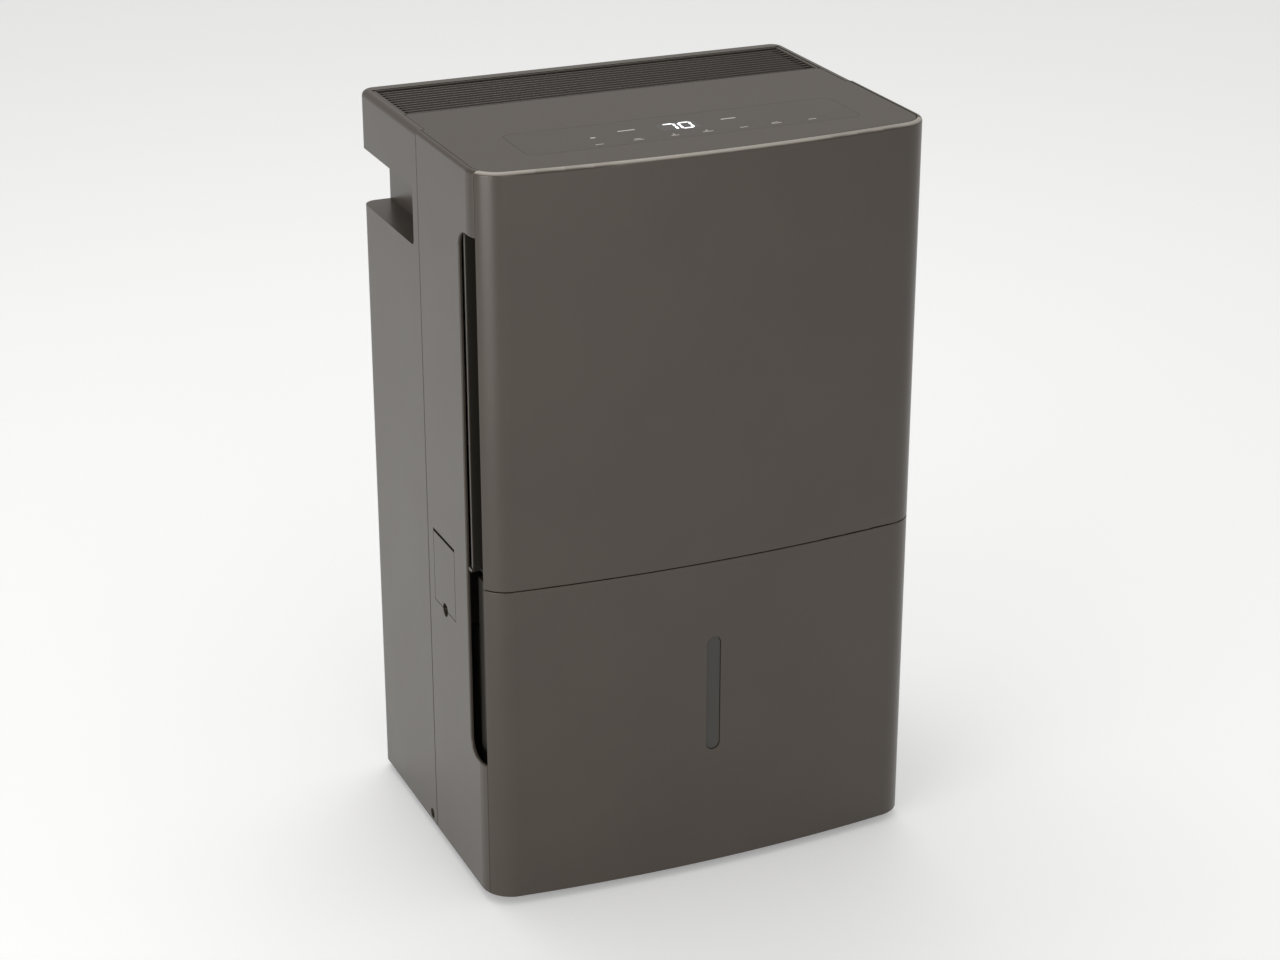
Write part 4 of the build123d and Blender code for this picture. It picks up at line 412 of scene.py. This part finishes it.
def row_of_boxes(name, size, count, first, step, lean, material, body, extra=None):
    """A row of like blades made by a geometry tree and turned into one plain mesh.
    extra adds listed boxes, as (low, high) pairs, to the same piece."""
    tree, given, result = tree_with(
        name + "_tree",
        [
            ("Size", "NodeSocketVector", size),
            ("Count", "NodeSocketInt", count),
            ("First", "NodeSocketVector", first),
            ("Step", "NodeSocketVector", step),
            ("Lean", "NodeSocketVector", lean),
        ],
    )
    line = tree.nodes.new("GeometryNodeMeshLine")
    tree.links.new(given.outputs["Count"], line.inputs["Count"])
    tree.links.new(given.outputs["First"], line.inputs["Start Location"])
    tree.links.new(given.outputs["Step"], line.inputs["Offset"])
    blade = tree.nodes.new("GeometryNodeMeshCube")
    tree.links.new(given.outputs["Size"], blade.inputs["Size"])
    spread = tree.nodes.new("GeometryNodeInstanceOnPoints")
    tree.links.new(line.outputs["Mesh"], spread.inputs["Points"])
    tree.links.new(blade.outputs["Mesh"], spread.inputs["Instance"])
    turned = tree.nodes.new("FunctionNodeEulerToRotation")
    tree.links.new(given.outputs["Lean"], turned.inputs["Euler"])
    tree.links.new(turned.outputs["Rotation"], spread.inputs["Rotation"])
    solid = tree.nodes.new("GeometryNodeRealizeInstances")
    tree.links.new(spread.outputs["Instances"], solid.inputs["Geometry"])
    coat = tree.nodes.new("GeometryNodeSetMaterial")
    coat.inputs["Material"].default_value = material
    tree.links.new(solid.outputs["Geometry"], coat.inputs["Geometry"])
    tree.links.new(coat.outputs["Geometry"], result.inputs["Geometry"])
    holder = bpy.data.objects.new(name + "_maker", bpy.data.meshes.new(name + "_maker"))
    bpy.context.scene.collection.objects.link(holder)
    maker = holder.modifiers.new("maker", "NODES")
    maker.node_group = tree
    holder.update_tag()
    graph = bpy.context.evaluated_depsgraph_get()
    mesh = bpy.data.meshes.new_from_object(holder.evaluated_get(graph))
    bpy.data.objects.remove(holder)
    work = bmesh.new()
    work.from_mesh(mesh)
    for low, high in extra or []:
        centre = [(a + b) / 2 for a, b in zip(low, high)]
        span = [b - a for a, b in zip(low, high)]
        bmesh.ops.create_cube(
            work, size=1, matrix=Matrix.Translation(centre) @ Matrix.Diagonal((*span, 1))
        )
    work.to_mesh(mesh)
    work.free()
    mesh.materials.clear()
    mesh.materials.append(material)
    for face in mesh.polygons:
        face.material_index = 0
    piece = bpy.data.objects.new(name, mesh)
    bpy.context.scene.collection.objects.link(piece)
    rounded = piece.modifiers.new("edges", "BEVEL")
    rounded.width = min(size) * 0.22
    rounded.segments = 1
    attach(piece, body)
    return piece


grille_span_y = grille_high.y - grille_low.y
blade_pitch = (grille_span_y - 2 * GRILLE_BORDER) / BLADE_COUNT
comb_teeth = []
for index in range(BLADE_COUNT):
    tooth_y = grille_low.y + GRILLE_BORDER + blade_pitch * (index + 0.5)
    for side in (-1, 1):
        inner = side * (grille_high.x - 0.0075)
        outer = side * (grille_high.x - 0.002)
        comb_teeth.append(
            (
                (min(inner, outer), tooth_y - TOOTH_HALF, grille_high.z - 0.0058),
                (max(inner, outer), tooth_y + TOOTH_HALF, grille_high.z - 0.0012),
            )
        )
rail_top = grille_high.z - RAIL_DROP
for side in (-1, 1):
    near, far = sorted((side * grille_high.x, side * (grille_high.x - SIDE_RAIL)))
    comb_teeth.append(((near, grille_low.y, grille_low.z), (far, grille_high.y, rail_top)))
for low_y, high_y in (
    (grille_low.y, grille_low.y + END_RAIL),
    (grille_high.y - END_RAIL, grille_high.y),
):
    comb_teeth.append(((grille_low.x, low_y, grille_low.z), (grille_high.x, high_y, rail_top)))
for rib_x in RIB_PLACES:
    comb_teeth.append(
        (
            (rib_x - RIB_HALF, grille_low.y, grille_low.z),
            (rib_x + RIB_HALF, grille_high.y, grille_low.z + END_RAIL),
        )
    )
outlet_blades = row_of_boxes(
    "outlet_blades",
    (grille_high.x - grille_low.x - 0.008, BLADE_THICK, BLADE_HEIGHT),
    BLADE_COUNT,
    (0, grille_low.y + GRILLE_BORDER + blade_pitch / 2, grille_high.z - BLADE_DROP),
    (0, blade_pitch, 0),
    (BLADE_LEAN, 0, 0),
    grille_dark,
    "cabinet",
    comb_teeth,
)
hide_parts("outlet_grille")

# ---------------------------------------------------------------- hidden and moving plastics
# Polypropylene and nylon mouldings inside the cabinet: the base, ducts, tray, tub, filter frame and
# casters. They come from the tool with a coarser, duller surface than the panels.
dark_inside = grained("dark_polypropylene", (0.020, 0.0195, 0.019, 1), 0.52, 0.0013, 0.35, 0.08)
pale_inside = grained("pale_polystyrene", (0.60, 0.60, 0.58, 1), 0.48, 0.0013, 0.3, 0.03)
tub_inside = grained("tub_polypropylene", (0.050, 0.047, 0.044, 1), 0.44, 0.0012, 0.3, 0.06)
handle_plastic = grained("handle_nylon", (0.085, 0.080, 0.074, 1), 0.40, 0.0008, 0.3, 0.05)
caster_names = ("front_left", "rear_left", "front_right", "rear_right")
paint(["base_pan", "electronics_box", "cord_gland", "terminal_cover", "bucket_switch"], dark_inside)
paint(["coil_housing", "drip_tray", "fan_housing", "bay_partition"], pale_inside)
paint(["outlet_duct", "blower_wheel"], dark_inside)
# The frame's black plastic is deepened to near black as painted shade where it shows through the
# side slot.
FRAME_BLACK_AND_SHADE = (0.0085, 0.0078, 0.0068, 1)
frame_black_and_shade = grained("filter_frame_black_and_shade", FRAME_BLACK_AND_SHADE, 0.62, 0.0011, 0.3, 0.1, 0.2)
paint(["filter_frame"], frame_black_and_shade)
paint(["bucket_tub"], tub_inside)
paint(["bucket_handle"], handle_plastic)
paint(["caster_fork_" + name for name in caster_names], dark_inside)
paint(["caster_wheel_" + name for name in caster_names], handle_plastic)

# ---------------------------------------------------------------- metals
# Zinc-plated steel screws, pins and axles; black-enamelled compressor; grey motor; drawn copper
# pipes, browned by handling and brazing; rolled aluminium fins.
zinc = grained("zinc_plate", (0.52, 0.52, 0.50, 1), 0.34, 0.0005, 0.2, 0.08, 0.5, 60, 1.0)
enamel = grained("black_enamel", (0.012, 0.012, 0.012, 1), 0.26, 0.0016, 0.25, 0.1)
motor_grey = grained("motor_enamel", (0.17, 0.175, 0.18, 1), 0.38, 0.0012, 0.25, 0.05)
copper = grained("drawn_copper", (0.62, 0.29, 0.17, 1), 0.30, 0.0009, 0.15, 0.22, 0.5, 35, 1.0)
foil = grained("fin_foil", (0.72, 0.73, 0.74, 1), 0.36, 0.0012, 0.2, 0.07, 0.5, 30, 1.0)
steel_nodes = ["drain_door_pin", "motor_shaft", "compressor_bolts", "switch_lever", "casing_screws"]
paint(steel_nodes + ["caster_axle_" + name for name in caster_names], zinc)
paint(["compressor", "accumulator"], enamel)
paint(["fan_motor"], motor_grey)
paint(
    ["evaporator_tube", "condenser_tube", "suction_pipe", "discharge_pipe", "filter_drier"]
    + ["liquid_pipe", "capillary"],
    copper,
)

# ---------------------------------------------------------------- rubber, foam and capacitor
# The drain elbow, its cap and the compressor's grommets are moulded rubber, pushed on or in. The
# float is a block of closed-cell foam, and the capacitor sits in a grey plastic case.
rubber = grained("moulded_rubber", (0.014, 0.014, 0.014, 1), 0.68, 0.0008, 0.4, 0.12)
foam = grained("float_foam", (0.62, 0.61, 0.57, 1), 0.85, 0.0015, 0.8, 0.05)
capacitor_case = grained("capacitor_case", (0.30, 0.31, 0.32, 1), 0.45, 0.0010, 0.2, 0.05)
paint(["drain_elbow", "drain_cap", "compressor_grommets"], rubber)
paint(["bucket_float"], foam)
paint(["capacitor"], capacitor_case)

# ---------------------------------------------------------------- circuit boards
# Two boards of glass laminate under green solder mask, screwed down. Their black and tan component
# cases stand beyond the laminate's own face.
MAIN_BOARD_FACE = 0.1283
CONTROL_BOARD_FACE = 0.6162


def populated(name, axis, operation, level):
    """Green solder mask on the board itself; every part standing beyond the level is a black or
    tan component case."""
    material = grained(name, (0.015, 0.085, 0.035, 1), 0.35, 0.0008, 0.2, 0.15)
    tree = material.node_tree
    shader = tree.nodes["Principled BSDF"]
    board = shader.inputs["Base Color"].links[0].from_socket
    place = tree.nodes.new("ShaderNodeTexCoord")
    split = tree.nodes.new("ShaderNodeSeparateXYZ")
    tree.links.new(place.outputs["Object"], split.inputs["Vector"])
    beyond = tree.nodes.new("ShaderNodeMath")
    beyond.operation = operation
    beyond.inputs[1].default_value = level
    tree.links.new(split.outputs[axis], beyond.inputs[0])
    cells = tree.nodes.new("ShaderNodeTexVoronoi")
    cells.inputs["Scale"].default_value = 45
    tree.links.new(place.outputs["Object"], cells.inputs["Vector"])
    cases = tree.nodes.new("ShaderNodeValToRGB")
    cases.color_ramp.elements[0].position = 0.45
    cases.color_ramp.elements[0].color = (0.012, 0.012, 0.013, 1)
    cases.color_ramp.elements[1].position = 0.9
    cases.color_ramp.elements[1].color = (0.11, 0.09, 0.06, 1)
    tree.links.new(cells.outputs["Distance"], cases.inputs["Fac"])
    mixed = blend_colour(tree, board, cases.outputs["Color"], beyond.outputs[0])
    tree.links.new(mixed, shader.inputs["Base Color"])
    return material


paint(["main_board"], populated("main_board_mask", "Y", "LESS_THAN", MAIN_BOARD_FACE))
control_mask = populated("control_board_mask", "Z", "GREATER_THAN", CONTROL_BOARD_FACE)
paint(["control_board"], control_mask)

# ---------------------------------------------------------------- level window
# A smoked clear strip with round ends, pressed into the bucket's front. Its border is painted
# nearly black, a painted shadow along its edge.
WINDOW_EDGE_PAINTED_SHADE = (0.006, 0.0056, 0.005, 1)
BORDER_INNER = 0.0026
BORDER_OUTER = 0.0018
smoked_window = grained("smoked_window", (0.028, 0.0255, 0.0225, 1), 0.22, 0.0016, 0.06, 0.12)
window_low, window_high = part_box("level_window")
window_r = (window_high.x - window_low.x) / 2
window_mid = ((window_low.x + window_high.x) / 2, 0, (window_low.z + window_high.z) / 2)
window_tree = smoked_window.node_tree
window_shader = window_tree.nodes["Principled BSDF"]
window_tone = window_shader.inputs["Base Color"].links[0].from_socket
window_place = window_tree.nodes.new("ShaderNodeTexCoord")
from_middle = window_tree.nodes.new("ShaderNodeVectorMath")
from_middle.operation = "SUBTRACT"
from_middle.inputs[1].default_value = window_mid
window_tree.links.new(window_place.outputs["Object"], from_middle.inputs[0])
window_split = window_tree.nodes.new("ShaderNodeSeparateXYZ")
window_tree.links.new(from_middle.outputs["Vector"], window_split.inputs["Vector"])
along = window_tree.nodes.new("ShaderNodeMath")
along.operation = "ABSOLUTE"
window_tree.links.new(window_split.outputs["Z"], along.inputs[0])
past_straight = window_tree.nodes.new("ShaderNodeMath")
past_straight.operation = "SUBTRACT"
past_straight.inputs[1].default_value = (window_high.z - window_low.z) / 2 - window_r
window_tree.links.new(along.outputs[0], past_straight.inputs[0])
end_only = window_tree.nodes.new("ShaderNodeMath")
end_only.operation = "MAXIMUM"
end_only.inputs[1].default_value = 0
window_tree.links.new(past_straight.outputs[0], end_only.inputs[0])
flat_offset = window_tree.nodes.new("ShaderNodeCombineXYZ")
window_tree.links.new(window_split.outputs["X"], flat_offset.inputs["X"])
window_tree.links.new(end_only.outputs[0], flat_offset.inputs["Y"])
reach = window_tree.nodes.new("ShaderNodeVectorMath")
reach.operation = "LENGTH"
window_tree.links.new(flat_offset.outputs["Vector"], reach.inputs[0])
border = window_tree.nodes.new("ShaderNodeMapRange")
border.inputs["From Min"].default_value = window_r - BORDER_INNER
border.inputs["From Max"].default_value = window_r - BORDER_OUTER
window_tree.links.new(reach.outputs["Value"], border.inputs["Value"])
# The window's edge takes the near-black painted shadow.
edged = blend_colour(window_tree, window_tone, WINDOW_EDGE_PAINTED_SHADE, border.outputs["Result"])
window_tree.links.new(edged, window_shader.inputs["Base Color"])
paint(["level_window"], smoked_window)

# ---------------------------------------------------------------- coil fins
# Each coil carries a close pack of aluminium foil fins, punched with collars and fixed by widening
# the copper tubes inside them.
FIN_PITCH = 0.0021
FIN_THICK = 0.0004
for coil in ("evaporator", "condenser"):
    fin_low, fin_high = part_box(coil + "_fins")
    fin_count = int((fin_high.x - fin_low.x) / FIN_PITCH)
    fin_pack = row_of_boxes(
        coil + "_fin_pack",
        (FIN_THICK, fin_high.y - fin_low.y, fin_high.z - fin_low.z),
        fin_count,
        (fin_low.x + FIN_PITCH / 2, (fin_low.y + fin_high.y) / 2, (fin_low.z + fin_high.z) / 2),
        (FIN_PITCH, 0, 0),
        (0, 0, 0),
        foil,
        "cabinet",
    )
    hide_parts(coil + "_fins")

# ---------------------------------------------------------------- filter net and ribs
# A woven polypropylene net is welded into the filter's frame. The frame's own rib lattice, moulded
# with it and a little thinner, holds the net flat.
WEAVE_SCALE = 210
net_low, net_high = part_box("filter_mesh")
net_weave = bpy.data.materials.new("filter_net")
net_tree, net_shader, net_place = finish_nodes(net_weave)
net_shader.inputs["Roughness"].default_value = 0.6
net_wave_x = net_tree.nodes.new("ShaderNodeTexWave")
net_wave_x.inputs["Scale"].default_value = WEAVE_SCALE
net_tree.links.new(net_place.outputs["Object"], net_wave_x.inputs["Vector"])
net_wave_z = net_tree.nodes.new("ShaderNodeTexWave")
net_wave_z.bands_direction = "Z"
net_wave_z.inputs["Scale"].default_value = WEAVE_SCALE
net_tree.links.new(net_place.outputs["Object"], net_wave_z.inputs["Vector"])
net_join = net_tree.nodes.new("ShaderNodeMath")
net_join.operation = "MAXIMUM"
net_tree.links.new(net_wave_x.outputs["Fac"], net_join.inputs[0])
net_tree.links.new(net_wave_z.outputs["Fac"], net_join.inputs[1])
net_tone = net_tree.nodes.new("ShaderNodeValToRGB")
net_tone.color_ramp.elements[0].position = 0.6
net_tone.color_ramp.elements[0].color = (0.004, 0.004, 0.004, 1)
net_tone.color_ramp.elements[1].position = 0.8
net_tone.color_ramp.elements[1].color = (0.05, 0.05, 0.05, 1)
net_tree.links.new(net_join.outputs["Value"], net_tone.inputs["Fac"])
net_tree.links.new(net_tone.outputs["Color"], net_shader.inputs["Base Color"])
net_bump = net_tree.nodes.new("ShaderNodeBump")
net_bump.inputs["Strength"].default_value = 0.8
net_bump.inputs["Distance"].default_value = 0.0004
net_tree.links.new(net_join.outputs["Value"], net_bump.inputs["Height"])
net_tree.links.new(net_bump.outputs["Normal"], net_shader.inputs["Normal"])
paint(["filter_mesh"], net_weave)

RIB_THICK = 0.0014
RIB_DEPTH = 0.0005
RIB_COUNT = 9
RIB_GAP = 0.0001
rib_left = net_low.x + 0.012
rib_right = net_high.x - 0.012
rib_low = net_low.z + 0.006
rib_high = net_high.z - 0.006
rib_step = (rib_right - rib_left) / (RIB_COUNT + 1)
cross_bars = []
for share in (0.25, 0.5, 0.75):
    bar_z = rib_low + (rib_high - rib_low) * share
    cross_bars.append(
        (
            (rib_left, net_low.y - RIB_DEPTH, bar_z - RIB_THICK / 2),
            (rib_right, net_low.y - RIB_GAP, bar_z + RIB_THICK / 2),
        )
    )
filter_ribs = row_of_boxes(
    "filter_ribs",
    (RIB_THICK, RIB_DEPTH, rib_high - rib_low),
    RIB_COUNT,
    (rib_left + rib_step, net_low.y - RIB_DEPTH / 2 - RIB_GAP, (rib_low + rib_high) / 2),
    (rib_step, 0, 0),
    (0, 0, 0),
    frame_black_and_shade,
    "air_filter",
    cross_bars,
)

# ---------------------------------------------------------------- welds and rolled seams
# The compressor's steel shell is drawn cups joined by weld beads all round. The accumulator's ends
# are spun over, and the capacitor's can is rolled onto its lid.


def bead(name, centre, radius, thick, body, material, around=96, section=10):
    """A closed bead round a vertical shell."""
    mesh = bpy.data.meshes.new(name)
    points = []
    for turn_step in range(around):
        angle = 2 * math.pi * turn_step / around
        ripple = 1 + 0.12 * math.sin(angle * 36)
        for ring_step in range(section):
            roll = 2 * math.pi * ring_step / section
            reach = radius + thick * ripple * math.cos(roll)
            points.append(
                (
                    centre[0] + reach * math.cos(angle),
                    centre[1] + reach * math.sin(angle),
                    centre[2] + thick * ripple * math.sin(roll),
                )
            )
    sides = []
    for turn_step in range(around):
        following = (turn_step + 1) % around
        for ring_step in range(section):
            upper = (ring_step + 1) % section
            sides.append(
                (
                    turn_step * section + ring_step,
                    following * section + ring_step,
                    following * section + upper,
                    turn_step * section + upper,
                )
            )
    mesh.from_pydata(points, [], sides)
    mesh.materials.append(material)
    for face in mesh.polygons:
        face.use_smooth = True
    piece = bpy.data.objects.new(name, mesh)
    bpy.context.scene.collection.objects.link(piece)
    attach(piece, body)
    return piece


compressor_low, compressor_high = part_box("compressor")
shell_x = (compressor_low.x + compressor_high.x) / 2
SHELL_Y = 0.076
BAND_R = 0.0515
UPPER_WELD_Z = 0.194
LOWER_WELD_Z = 0.186
SPUN_END = 0.012
for name, seam_z in (
    ("compressor_weld_upper", UPPER_WELD_Z),
    ("compressor_weld_lower", LOWER_WELD_Z),
):
    seam = (shell_x, SHELL_Y, seam_z)
    bead(name, seam, BAND_R - 0.0008, 0.0009, "cabinet", enamel)
tank_low, tank_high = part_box("accumulator")
tank_x = (tank_low.x + tank_high.x) / 2
tank_y = (tank_low.y + tank_high.y) / 2
tank_r = (tank_high.x - tank_low.x) / 2
for name, seam_z in (
    ("accumulator_seam_upper", tank_high.z - SPUN_END),
    ("accumulator_seam_lower", tank_low.z + SPUN_END),
):
    bead(name, (tank_x, tank_y, seam_z), tank_r, 0.0005, "cabinet", enamel)
case_low, case_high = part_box("capacitor")
case_x = (case_low.x + case_high.x) / 2
case_y = (case_low.y + case_high.y) / 2
case_r = (case_high.x - case_low.x) / 2
case_seam = (case_x, case_y, case_high.z - 0.006)
bead("capacitor_seam", case_seam, case_r - 0.0001, 0.0004, "cabinet", zinc)
